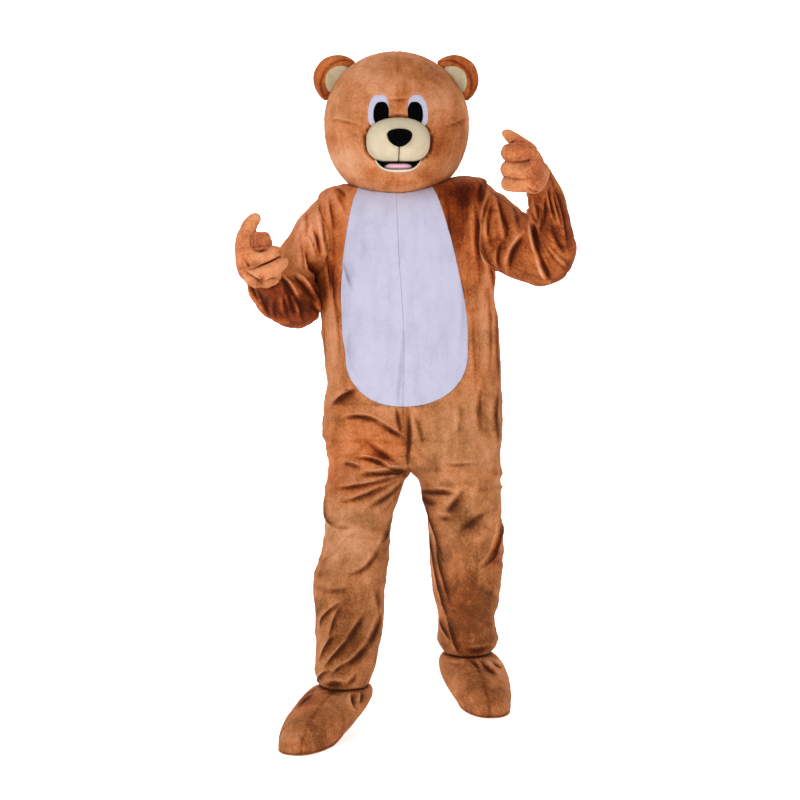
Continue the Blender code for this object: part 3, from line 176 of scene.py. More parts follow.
# Creases by where they show in the view: three points, depth in metres (a ridge is above 0), width in
# pixels, and lip, the share of the depth that stands up beside it. part says what they lie on:
# 0 the suit and upper arms, 1 the right forearm, 2 the left forearm, 3 the right shoe cover,
# 4 the left shoe cover, 5 the right glove, 6 the left glove, 7 the head.
creaseTable = rowsOf("""
part u1    v1    u2    v2    u3    v3    depth  width lip
0    334   405   345   397   357   390   -0.012 4.0   0.3
0    346   418   365   417   381   424   -0.010 2.4   0.6
0    381   424   392   431   402   437   -0.009 2.4   0.5
0    366   440   381   453   397   462   -0.007 4.0   0.3
0    357   458   374   460   387   467   -0.011 2.0   0.6
0    387   467   393   469   400   469   -0.010 2.0   0.5
0    345   463   353   465   361   468   -0.007 2.0   0.6
0    363   474   385   472   408   468   -0.014 2.4   0.4
0    337   489   365   486   404   474   -0.008 3.0   0.4
0    342   501   358   499   395   481   -0.007 3.0   0.4
0    367   509   385   497   402   482   -0.007 3.0   0.4
0    327   495   327   516   337   527   -0.008 2.4   0.4
0    337   527   344   528   352   528   -0.004 2.4   0.3
0    349   575   365   568   379   546   -0.007 3.0   0.4
0    379   546   384   536   388   524   -0.006 2.6   0.4
0    396   407   398   420   402   436   -0.006 1.4   0.5
0    407   408   409   436   407   466   -0.008 1.5   0.6
0    415   415   419   428   424   445   -0.005 4.0   0.2
0    481   386   478   409   480   431   -0.006 4.0   0.3
0    459   405   460   420   457   437   -0.004 3.5   0.3
0    497   390   494   415   497   440   -0.007 3.5   0.3
0    445   464   458   465   473   464   -0.004 2.0   0.5
0    422   492   438   491   454   493   -0.010 2.6   0.4
0    424   495   430   500   437   503   -0.009 4.0   0.2
0    448   511   456   502   464   490   -0.008 4.4   0.3
0    439   516   446   518   453   517   -0.006 3.0   0.3
0    458   533   473   520   489   511   -0.005 4.4   0.3
0    501   520   495   548   482   567   -0.010 2.6   0.5
0    423   493   431   514   444   559   -0.010 3.0   0.4
0    430   530   433   545   437   565   -0.008 2.6   0.4
0    437   541   443   570   451   602   -0.008 3.0   0.4
0    432   545   440   585   449   619   -0.009 2.6   0.5
0    449   619   454   636   459   651   -0.010 2.8   0.5
0    440   618   446   630   452   642   -0.009 2.6   0.4
0    465   648   477   649   489   646   -0.007 3.0   0.3
0    322   626   327   615   342   603   -0.008 3.0   0.4
0    321   661   327   648   334   637   -0.009 3.0   0.4
0    327   666   339   652   348   641   -0.010 2.6   0.5
0    348   641   355   630   363   616   -0.008 3.0   0.4
0    348   665   357   657   366   646   -0.010 3.0   0.5
0    366   646   373   633   379   615   -0.009 3.0   0.4
0    330   640   335   622   342   606   -0.006 3.0   0.4
0    318   682   322   676   330   672   -0.008 2.4   0.4
0    326   684   336   683   345   684   -0.008 2.4   0.4
0    345   684   352   680   355   675   -0.006 2.4   0.4
0    320   588   335   592   350   589   -0.004 4.0   0.3
0    333   675   341   668   352   662   -0.006 2.6   0.4
0    371   585   376   600   378   612   -0.004 3.0   0.3
0    334   189   341   193   347   200   -0.006 2.5   0.4
0    336   193   343   203   347   214   -0.004 3.0   0.3
0    321   204   324   231   329   259   -0.011 2.8   0.5
0    329   259   331   272   332   290   -0.008 2.8   0.4
0    313   229   317   240   320   256   -0.010 2.5   0.5
0    310   236   314   246   317   258   -0.007 2.0   0.4
0    309   262   311   268   315   277   -0.010 2.2   0.4
0    306   251   308   262   309   272   -0.006 2.0   0.4
0    330   198   333   212   336   228   -0.006 3.0   0.3
0    300   240   303   255   304   268   -0.004 3.0   0.3
0    304   206   306   222   306   236   -0.004 3.0   0.3
0    333   262   336   290   337   318   -0.005 3.5   0.3
0    338   300   340   330   342   360   -0.004 4.0   0.3
0    325   320   327   350   326   380   -0.005 4.0   0.3
0    481   184   479   192   478   203   -0.006 3.0   0.3
0    489   197   484   212   482   228   -0.011 2.6   0.5
0    482   228   483   250   494   268   -0.012 2.6   0.5
0    476   216   475   238   478   258   -0.005 3.0   0.3
0    491   206   488   226   491   246   -0.008 2.6   0.4
0    486   262   490   272   492   290   -0.007 3.0   0.3
0    497   195   502   212   505   235   -0.006 3.0   0.4
0    503   215   507   228   504   243   -0.005 3.0   0.4
0    512   204   517   214   517   222   -0.004 3.0   0.3
0    526   230   516   239   508   252    0.005 1.8   0.0
0    524   236   512   253   510   269   -0.011 3.2   0.4
0    501   245   498   256   499   268   -0.007 2.5   0.4
0    487   290   489   330   488   370   -0.005 4.0   0.3
0    497   300   495   340   497   380   -0.005 3.0   0.3
0    474   200   476   240   478   280   -0.005 4.0   0.3
0    470   300   473   350   476   390   -0.003 4.0   0.3
0    404   333   401   370   398   406   -0.004 3.0   0.3
0    344   262   348   274   353   291   -0.006 2.2   0.4
0    460   270   462   310   459   350   -0.004 5.0   0.2
0    352   330   350   350   356   375   -0.003 4.0   0.3
1    281   277   288   285   296   299   -0.010 2.2   0.6
1    296   299   300   307   302   317   -0.010 2.4   0.5
1    294   276   304   285   314   301   -0.010 2.4   0.6
1    310   302   315   308   320   315   -0.008 2.0   0.4
1    284   286   290   300   294   315   -0.005 2.4   0.4
1    247   277   250   288   261   304   -0.009 2.2   0.5
1    251   281   258   287   265   290   -0.008 2.2   0.4
1    265   290   274   287   281   281   -0.007 2.2   0.4
1    276   301   274   310   277   319   -0.005 2.6   0.3
1    284   294   285   305   289   319   -0.005 2.6   0.3
1    256   290   262   300   266   312   -0.006 2.4   0.4
1    268   296   266   306   270   317   -0.004 2.4   0.3
2    533   221   534   237   540   258   -0.014 2.2   0.6
0    533   221   534   237   540   258   -0.014 2.4   0.6
2    540   258   544   269   549   279   -0.014 2.5   0.5
0    540   258   544   269   549   279   -0.014 2.6   0.5
2    543   246   555   260   566   271   -0.010 2.2   0.5
2    549   268   555   272   560   275   -0.007 2.0   0.3
2    525   271   526   275   529   280   -0.007 2.0   0.4
2    533   270   536   276   541   283   -0.010 2.6   0.4
2    549   189   551   204   556   220   -0.007 2.0   0.5
2    553   191   558   210   563   228   -0.006 2.2   0.5
2    557   190   564   215   569   250   -0.006 2.5   0.4
2    535   204   537   212   538   222   -0.008 2.4   0.4
2    546   199   545   212   543   225   -0.007 2.4   0.4
2    541   207   541   220   540   235   -0.005 2.0   0.4
2    551   225   556   240   566   255   -0.005 3.0   0.3
2    527   195   528   203   531   210   -0.006 2.0   0.4
3    300   699   308   692   318   687   -0.006 2.4   0.4
3    296   710   304   700   314   694   -0.005 2.4   0.4
3    352   693   353   700   355   707   -0.008 2.6   0.4
3    361   690   362   697   361   703   -0.006 2.2   0.4
3    322   694   330   692   338   694   -0.003 2.4   0.3
4    493   662   498   665   503   667   -0.006 2.4   0.4
4    481   662   489   668   497   675   -0.007 2.6   0.4
4    470   660   476   664   480   670   -0.005 2.0   0.4
4    447   662   455   664   462   663   -0.003 2.4   0.3
5    249   270   264   264   281   256   -0.006 1.3   0.3
5    259   250   262   250   265   248   -0.004 1.2   0.3
5    253   233   260   230   268   234   -0.002 1.6   0.2
5    253   234   250   241   253   249   -0.002 1.6   0.2
5    253   249   261   251   270   248   -0.004 1.4   0.3
5    243   258   247   263   250   269   -0.003 1.8   0.3
5    245   271   254   277   263   283   -0.005 1.5   0.4
5    266   281   271   278   278   279   -0.004 1.4   0.3
6    504   161   520   162   531   159   -0.003 1.6   0.3
6    500   175   516   179   532   178   -0.003 1.6   0.3
6    505   145   509   144   516   140   -0.005 1.3   0.3
6    526   186   532   190   540   192   -0.003 1.6   0.3
7    386    99   398   100   410    98   -0.0030 1.5  0.8
7    392   114   399   115   406   114   -0.0025 1.3  0.8
7    329   119   345   122   362   127   -0.0026 1.8  0.6
7    438   129   455   124   468   118   -0.0026 1.8  0.6
7    350   113   360   111   368   114   -0.0010 2.0  0.6
7    432   112   440   110   448   112   -0.0010 2.0  0.6
""")

# the same kind of table for the back, seen through from the front
backCreases = rowsOf("""
part u1    v1    u2    v2    u3    v3    depth  width lip
0    338   210   345   250   352   300   -0.008 6.1   0.24
0    472   206   462   250   452   300   -0.008 6.1   0.24
0    352   330   400   342   450   332   -0.007 5.8   0.24
0    346   352   385   360   424   348   -0.007 5.4   0.24
0    372   372   410   378   462   362   -0.006 5.1   0.24
0    350   395   372   430   398   462   -0.010 5.8   0.24
0    474   392   448   428   414   464   -0.010 5.8   0.24
0    362   452   380   470   404   476   -0.009 4.8   0.30
0    470   446   446   470   412   478   -0.009 4.8   0.30
0    332   492   360   486   392   492   -0.007 5.1   0.24
0    494   496   464   488   432   494   -0.007 5.1   0.24
0    330   548   350   540   374   546   -0.008 4.8   0.30
0    334   562   356   556   376   566   -0.006 4.4   0.24
0    496   546   470   538   440   546   -0.008 4.8   0.30
0    494   566   468   556   442   562   -0.006 4.4   0.24
0    326   610   342   622   366   632   -0.006 5.1   0.24
0    490   606   470   620   448   632   -0.006 5.1   0.24
0    326   646   342   640   362   650   -0.007 4.4   0.24
0    488   636   470   630   450   640   -0.007 4.4   0.24
0    304   216   300   250   306   280   -0.006 5.1   0.24
0    512   210   520   236   516   262   -0.006 5.1   0.24
1    252   286   268   300   292   306   -0.007 2.6   0.4
1    246   268   262   282   284   290   -0.006 2.6   0.4
2    566   226   552   246   540   276   -0.008 2.6   0.4
2    560   206   548   230   536   250   -0.006 2.6   0.4
""")


def creases(points, facing, part, rows):
    # how far the creases move the points along their normals, and their painted shade: dark along the
    # sharp side, with a painted highlight on the crest, placed as for a light from the upper left; facing
    # is 1 where they take hold.
    # Each is a fold that rises to a crest and drops sharply behind it.
    u, v = seenAt(points)
    total, line = np.zeros(u.shape), np.zeros(u.shape)
    for row in rows:
        if row["part"] != part:
            continue
        start, middle, end = ((row[f"u{k}"], row[f"v{k}"]) for k in (1, 2, 3))
        reach = 4 * row["width"] + 2
        near = facing > 0
        for axis, field in enumerate((u, v)):
            ends = [point[axis] for point in (start, middle, end)]
            near = near & (field > min(ends) - reach) & (field < max(ends) + reach)
        if not near.any():
            continue
        hu, hv = u[near], v[near]
        # the crest lies on the upper left, toward the light, and the painted shade falls on the lower
        # right
        lower = np.array([start[1] - end[1], end[0] - start[0]])
        lower = lower * np.sign(lower @ (0.55, 0.83)) / np.hypot(*lower)
        best, along, aside = np.full(hu.shape, 1e9), np.zeros(hu.shape), np.zeros(hu.shape)
        bend = [2 * m - (a + c) / 2 for a, m, c in zip(start, middle, end)]
        s = np.linspace(0, 1, 9)
        curveU, curveV = [(1 - s) ** 2 * a + 2 * s * (1 - s) * b + s * s * c
                          for a, b, c in zip(start, bend, end)]
        for k in range(8):
            du, dv = curveU[k + 1] - curveU[k], curveV[k + 1] - curveV[k]
            share = np.clip(((hu - curveU[k]) * du + (hv - curveV[k]) * dv) / (du * du + dv * dv), 0, 1)
            offU, offV = hu - curveU[k] - share * du, hv - curveV[k] - share * dv
            away = np.hypot(offU, offV)
            along = np.where(away < best, s[k] + share / 8, along)
            aside = np.where(away < best, offU * lower[0] + offV * lower[1], aside)
            best = np.minimum(best, away)
        place = best / row["width"] * np.sign(aside)
        behind = 0.6 * np.exp(-place / 1.1) + 0.4 * np.exp(-place ** 2)
        drop = np.where(place < 0, bell(place, 0, 0.55), behind)
        crest = row["lip"] * bell(place, -1.3, 0.75)
        taper = np.sin(math.pi * np.clip(along, 0.04, 0.96)) ** 0.7 * facing[near]
        total[near] += row["depth"] * (drop - crest) * taper
        # painted highlight on the crest, painted shade along the crease line
        lit = 0.6 * row["lip"] * bell(place, -1.3, 0.8)
        line[near] += min(abs(row["depth"]) / 0.010, 1.3) * (bell(best, 0.2, 0.9) - lit) * taper
    return total, np.minimum(line, 1.3)


# Tone patches in the view: where the nap lies darker or lighter, with painted shade under the arms, in
# folds and round the fingers, and the legs darker towards the feet; and where the nap shows its rust side:
# place and reach in pixels, then how much of each.
napAndShadeTable = rowsOf("""
part u   v   wide tall tone  rust
7   398  62  18   12  -0.07  0.25
7   400 102   8   12  -0.10  0.35
7   372  92  14   10   0.06 -0.10
7   348  84   9    9  -0.06  0.15
7   425  82  13   10  -0.05  0.15
7   442 100  10   10   0.05 -0.10
7   437 146  11   17  -0.20  0.35
7   452 122  16   30  -0.08  0.10
7   333 140   9    9  -0.07  0.35
7   342 126  12    5  -0.04  0.20
7   345 160  14   13   0.09 -0.20
7   372 172   9    8  -0.11  0.30
7   395 181  14    7  -0.08  0.30
7   427 176   9    8  -0.09  0.30
7   400 180  44   10  -0.10  0.00
7   448 166  10   12   0.08 -0.15
0   344 205  18   16   0.04  0.35
0   336 250  10   44  -0.04  0.35
0   322 285   8   28  -0.22  0.20
0   331 345   9   36   0.12 -0.15
0   462 193  30   15  -0.33  0.25
0   452 226  15   26  -0.26  0.20
0   492 190  18    8  -0.04  0.20
0   470 262  10   30  -0.06  0.20
0   482 322  12   36   0.06 -0.20
0   362 442  38   26  -0.06  0.70
0   352 408  22   22  -0.12  0.10
0   332 470   8   20  -0.06  0.60
0   364 412  20    9   0.10 -0.10
0   380 455  16    8  -0.05  0.40
0   404 432   8   24  -0.12  0.10
0   448 432  34   34  -0.06 -0.30
0   348 488  28   14  -0.04  0.40
0   350 545  24   24   0.04 -0.10
0   345 640  26   52  -0.20  0.00
0   468 512  26   26  -0.08 -0.20
0   468 610  28   62  -0.26  0.00
0   320 532   4   30  -0.10  0.50
0   495 552   5   22  -0.06  0.60
1   306 235  14   36   0.22  0.30
1   316 280   8   20  -0.20  0.10
1   292 305  36   26  -0.26  0.50
2   498 222  12   34  -0.18  0.00
2   522 258  18   18  -0.08  0.00
2   552 225  26   50  -0.14  0.20
3   320 728  40   30  -0.16  0.00
3   306 700  16   10  -0.06  0.50
4   484 690  30   34  -0.14  0.00
5   244 250   8   22  -0.10  0.30
5   261 240   6    8  -0.24  0.30
5   261 280   4    3  -0.35  0.40
6   520 146  12   10  -0.14  0.70
6   536 176   8   24  -0.12  0.30
6   524 165  24   26  -0.09  0.00
8   350 280   5   16  -0.16  0.00
8   360 288   8   20   0.08  0.00
8   398 392   2   16  -0.10  0.00
8   416 388   3   14  -0.12  0.00
8   366 262  10   30  -0.08  0.00
""")


def napAndShadePatches(points, front, part):
    # tone holds nap patches and painted shade; rust holds the share of the nap's rust side
    u, v = seenAt(points)
    tone, rust = np.zeros(u.shape), np.zeros(u.shape)
    for row in napAndShadeTable:
        if row["part"] == part:
            away = ((u - row["u"]) / row["wide"]) ** 2 + ((v - row["v"]) / row["tall"]) ** 2
            near = np.exp(-away) * front
            tone += row["tone"] * near
            rust += row["rust"] * near
    return tone, rust


def colourOf(code):
    # an sRGB hex colour as linear light
    channels = [int(code[i:i + 2], 16) / 255 for i in (1, 3, 5)]
    return [c / 12.92 if c <= 0.04045 else ((c + 0.055) / 1.055) ** 2.4 for c in channels] + [1.0]


def addNode(tree, kind, inputs=None, **settings):
    made = tree.nodes.new(kind)
    for name, value in settings.items():
        setattr(made, name, value)
    for name, value in (inputs or {}).items():
        if isinstance(value, bpy.types.NodeSocket):
            tree.links.new(value, made.inputs[name])
        else:
            made.inputs[name].default_value = value
    return made


def fill(ramp, stops):
    # colours of a ramp, by place
    elements = ramp.color_ramp.elements
    while len(elements) < len(stops):
        elements.new(0.5)
    for element, (place, code) in zip(elements, stops):
        element.position = place
        element.color = colourOf(code)


def blankMaterial(name):
    material = bpy.data.materials.new(name)
    material.use_nodes = True
    material.node_tree.nodes.clear()
    return material, material.node_tree


def pileMaterial(name, look):
    # cloth with a pile: tones come from painted light on the faces turned toward the key light, the fold
    # attribute with its painted shade, painted highlights and nap patches, and small clumps
    material, tree = blankMaterial(name)
    where = addNode(tree, "ShaderNodeTexCoord")

    def mathOf(operation, *values, **settings):
        return addNode(tree, "ShaderNodeMath", dict(enumerate(values)), operation=operation,
                       **settings).outputs["Value"]

    def noiseOf(size, detail, roughness, vector=where.outputs["Object"], distortion=0.0):
        return addNode(tree, "ShaderNodeTexNoise",
                       {"Vector": vector, "Scale": 1 / look[size], "Detail": detail,
                        "Roughness": roughness, "Distortion": distortion}).outputs["Fac"]

    def attributeOf(layer):
        return addNode(tree, "ShaderNodeAttribute", attribute_name=layer).outputs["Fac"]

    def rampOf(stops):
        ramp = addNode(tree, "ShaderNodeValToRGB", {"Fac": level})
        fill(ramp, stops)
        return ramp.outputs["Color"]

    lumps = noiseOf("patch", 3.0, 0.6, distortion=0.6)
    longWays = addNode(tree, "ShaderNodeMapping",
                       {"Vector": where.outputs["Object"], "Scale": (1, 1, 0.22)})
    strokes = noiseOf("stroke", 2.0, 0.55, longWays.outputs["Vector"])
    clumps = noiseOf("clump", 3.0, 0.65)
    grain = noiseOf("grain", 2.0, 0.6)
    # painted light: faces turned up, forward and to the left, toward the key light, come out lighter
    lie = addNode(tree, "ShaderNodeVectorMath", {0: where.outputs["Normal"], 1: look["lie"]},
                  operation="DOT_PRODUCT")
    tone = mathOf("MULTIPLY_ADD", lumps, look["patchShare"], 0.0)
    for source, share in ((strokes, "strokeShare"), (clumps, "clumpShare"), (grain, "grainShare"),
                          (lie.outputs["Value"], "litSideShare"), (attributeOf("fold"), "foldShare")):
        tone = mathOf("MULTIPLY_ADD", source, look[share], tone)
    level = mathOf("ADD", tone, look["level"])
    colour = rampOf(look["colours"])
    if "rustColours" in look:       # the two colours that the nap shows, by the attribute and soft patches
        shift = mathOf("MULTIPLY_ADD", lumps, look["rustPatches"], -look["rustPatches"] / 2)
        amount = mathOf("ADD", attributeOf("rust"), shift, use_clamp=True)
        mixed = addNode(tree, "ShaderNodeMix", {"Factor": amount}, data_type="RGBA")
        tree.links.new(colour, mixed.inputs[6])
        tree.links.new(rampOf(look["rustColours"]), mixed.inputs[7])
        colour = mixed.outputs[2]
    bump = addNode(tree, "ShaderNodeBump", {"Height": mathOf("MULTIPLY_ADD", clumps, 2.0, grain),
                                            "Strength": look["bump"], "Distance": look["pile"]})
    shader = addNode(tree, "ShaderNodeBsdfPrincipled",
                     {"Base Color": colour, "Normal": bump.outputs["Normal"],
                      "Roughness": look["roughness"], "IOR": 1.5, "Specular IOR Level": look["gloss"],
                      "Sheen Weight": look["sheen"], "Sheen Roughness": look["sheenRoughness"],
                      "Sheen Tint": colourOf(look["sheenColour"])})
    addNode(tree, "ShaderNodeOutputMaterial", {"Surface": shader.outputs["BSDF"]})
    return material


# velour: polyester knit with a cut, brushed pile, so its tone shifts in patches; lie points toward the key
# light, which is painted onto the faces turned to it
velour = {"patch": 0.060, "patchShare": 0.50, "stroke": 0.024, "strokeShare": 0.24, "clump": 0.0065,
          "clumpShare": 0.44, "grain": 0.0026, "grainShare": 0.38, "lie": (-0.25, -0.45, 0.60),
          "litSideShare": 0.10, "foldShare": 1.35, "level": -0.96, "bump": 0.65, "pile": 0.0012,
          "roughness": 0.9, "gloss": 0.12, "sheen": 0.12, "sheenRoughness": 0.45,
          "sheenColour": "#E89A60", "rustPatches": 1.0,
          "colours": [(0.0, "#43200D"), (0.25, "#784622"), (0.48, "#AA7146"),
                      (0.72, "#CA936C"), (1.0, "#DEB394")],
          "rustColours": [(0.0, "#451302"), (0.25, "#82340D"), (0.48, "#B66330"),
                          (0.72, "#D3865C"), (1.0, "#E5A888")]}
gloveVelour = dict(velour, level=-0.98, patch=0.035,
                   colours=[(0.0, "#5A2C14"), (0.28, "#A5663E"), (0.5, "#C88A5E"), (0.75, "#D8A17A"),
                            (1.0, "#E2B28E")],
                   rustColours=[(0.0, "#5A220C"), (0.28, "#A85530"), (0.5, "#CC7B4C"), (0.75, "#DC9468"),
                                (1.0, "#E6A880")])
# fleece: brushed white knit, its lavender cast from the dye; only faint clumps show
plain = {"rustPatches": 0.0, "grainShare": 0.10, "litSideShare": 0.0}
fleece = {name: value for name, value in dict(velour, **plain).items() if name != "rustColours"}
fleece.update(patchShare=0.25, strokeShare=0.2, clumpShare=0.25, foldShare=0.9, level=-0.35, bump=0.3,
              pile=0.0006, sheen=0.08, sheenColour="#FFFFFF",
              colours=[(0.0, "#787590"), (0.3, "#A3A1B8"), (0.5, "#B7B5C9"), (0.75, "#C1BFD1"),
                       (1.0, "#CAC8D8")])
# plush: short cream pile over padding
creamPlush = dict(fleece, patch=0.03, patchShare=0.3, clumpShare=0.3, foldShare=0.9, level=-0.40, bump=0.5,
                  sheenColour="#FFF3DC",
                  colours=[(0.0, "#7D6A48"), (0.3, "#B0A080"), (0.5, "#C8B99C"), (0.75, "#D3C8B3"),
                           (1.0, "#DCD3C2")])
# felt: pressed fibres, matt, with a faint mottle and hardly any sheen
whiteFelt = dict(fleece, bump=0.35, pile=0.0004, level=-0.30, sheen=0.05)
blackFelt = dict(fleece, bump=0.4, pile=0.0005, sheen=0.0, gloss=0.04, foldShare=0.3, level=-0.2,
                 colours=[(0.0, "#000000"), (0.5, "#030202"), (1.0, "#0A0706")])
pinkFelt = dict(whiteFelt, colours=[(0.0, "#A07080"), (0.35, "#C496A4"), (0.6, "#D2A6B4"),
                                    (1.0, "#DEB8C4")])

materials = {
    "velour": pileMaterial("velour_brushed", velour),
    "glove": pileMaterial("velour_brushed_light", gloveVelour),
    "fleece": pileMaterial("fleece_brushed", fleece),
    "cream": pileMaterial("plush_short_pile", creamPlush),
    "lip": pileMaterial("plush_short_pile_pale", dict(creamPlush, level=-0.14)),
    "white": pileMaterial("felt_pressed_white", whiteFelt),
    "black": pileMaterial("felt_pressed_black", blackFelt),
    "pink": pileMaterial("felt_pressed_pink", pinkFelt),
}


def placed(name, data):
    made = bpy.data.objects.new(name, data)
    bpy.context.scene.collection.objects.link(made)
    return made


def addWall(piece, thick):
    wall = piece.modifiers.new("wall", "SOLIDIFY")
    wall.thickness, wall.offset = thick, -1


def shapedGrid(name, points, finish, wrapped=False, outward=None, closed=False, tones=0.5, rust=0.5,
               thick=0.0):
    # a grid from Blender's operator, laid on rows of points; closed shapes get their ends filled
    tones, rust = (np.broadcast_to(np.clip(field, 0, 1), points.shape[:2]) for field in (tones, rust))
    if wrapped:
        points, tones, rust = (np.concatenate([field, field[:, :1]], axis=1)
                               for field in (points, tones, rust))
    rows, columns = points.shape[:2]
    bm = bmesh.new()
    bmesh.ops.create_grid(bm, x_segments=columns - 1, y_segments=rows - 1, size=0.5)
    # the fold layer holds the tone, with its painted shade in hollows and painted light on ridges; rust
    # the nap's rust side
    fold, side = bm.verts.layers.float.new("fold"), bm.verts.layers.float.new("rust")
    flat = points.reshape(-1, 3) - (0, 0, shoulderHeight)
    for vert, place, tone, hue in zip(bm.verts, flat, tones.reshape(-1), rust.reshape(-1)):
        vert.co = place
        vert[fold], vert[side] = tone, hue
    bmesh.ops.remove_doubles(bm, verts=bm.verts, dist=2e-5)
    bmesh.ops.dissolve_degenerate(bm, edges=bm.edges, dist=1e-6)
    if closed:
        rims = [edge for edge in bm.edges if edge.is_boundary]
        if rims:
            bmesh.ops.holes_fill(bm, edges=rims)
        bmesh.ops.recalc_face_normals(bm, faces=bm.faces)
    elif outward is not None and (gridNormals(points, False)[:, :outward.shape[1]] * outward).sum() < 0:
        bmesh.ops.reverse_faces(bm, faces=bm.faces)
    mesh = bpy.data.meshes.new(name)
    bm.to_mesh(mesh)
    bm.free()
    mesh.materials.append(materials[finish])
    mesh.shade_smooth()
    piece = placed(name, mesh)
    if thick:
        addWall(piece, thick)
    return piece


def finished(piece, slot, *nodes):
    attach(piece, "root")
    if nodes:
        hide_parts(*nodes)
    return piece


def clothArea(grid, wrapped=False):
    # area of a grid of points, printed for each piece
    if wrapped:
        grid = np.concatenate([grid, grid[:, :1]], axis=1)
    a, b, c, d = grid[:-1, :-1], grid[:-1, 1:], grid[1:, 1:], grid[1:, :-1]
    return float(np.linalg.norm(np.cross(c - a, d - b), axis=-1).sum() / 2)


def alongRows(grid):
    # distance from the first column along each row
    steps = np.linalg.norm(np.diff(grid, axis=1), axis=-1)
    return np.concatenate([np.zeros((len(grid), 1)), np.cumsum(steps, axis=1)], axis=1)


def crowdedEnds(count, crowd=0.55):
    # places from 0 to 1, closer together at both ends, where the seams are
    even = np.linspace(0, 1, count)
    return even - crowd * np.sin(2 * math.pi * even) / (2 * math.pi)


def seamDip(away, along, seed):
    # a sewn edge: it sinks in a groove, and the thread puckers the cloth beside it
    pucker = 0.5 + 0.5 * np.sin(along / 0.0028 + 3 * np.sin(along / 0.031 + seed))
    return -0.0016 * np.exp(-away / 0.003) - 0.0009 * pucker * np.exp(-away / 0.010)


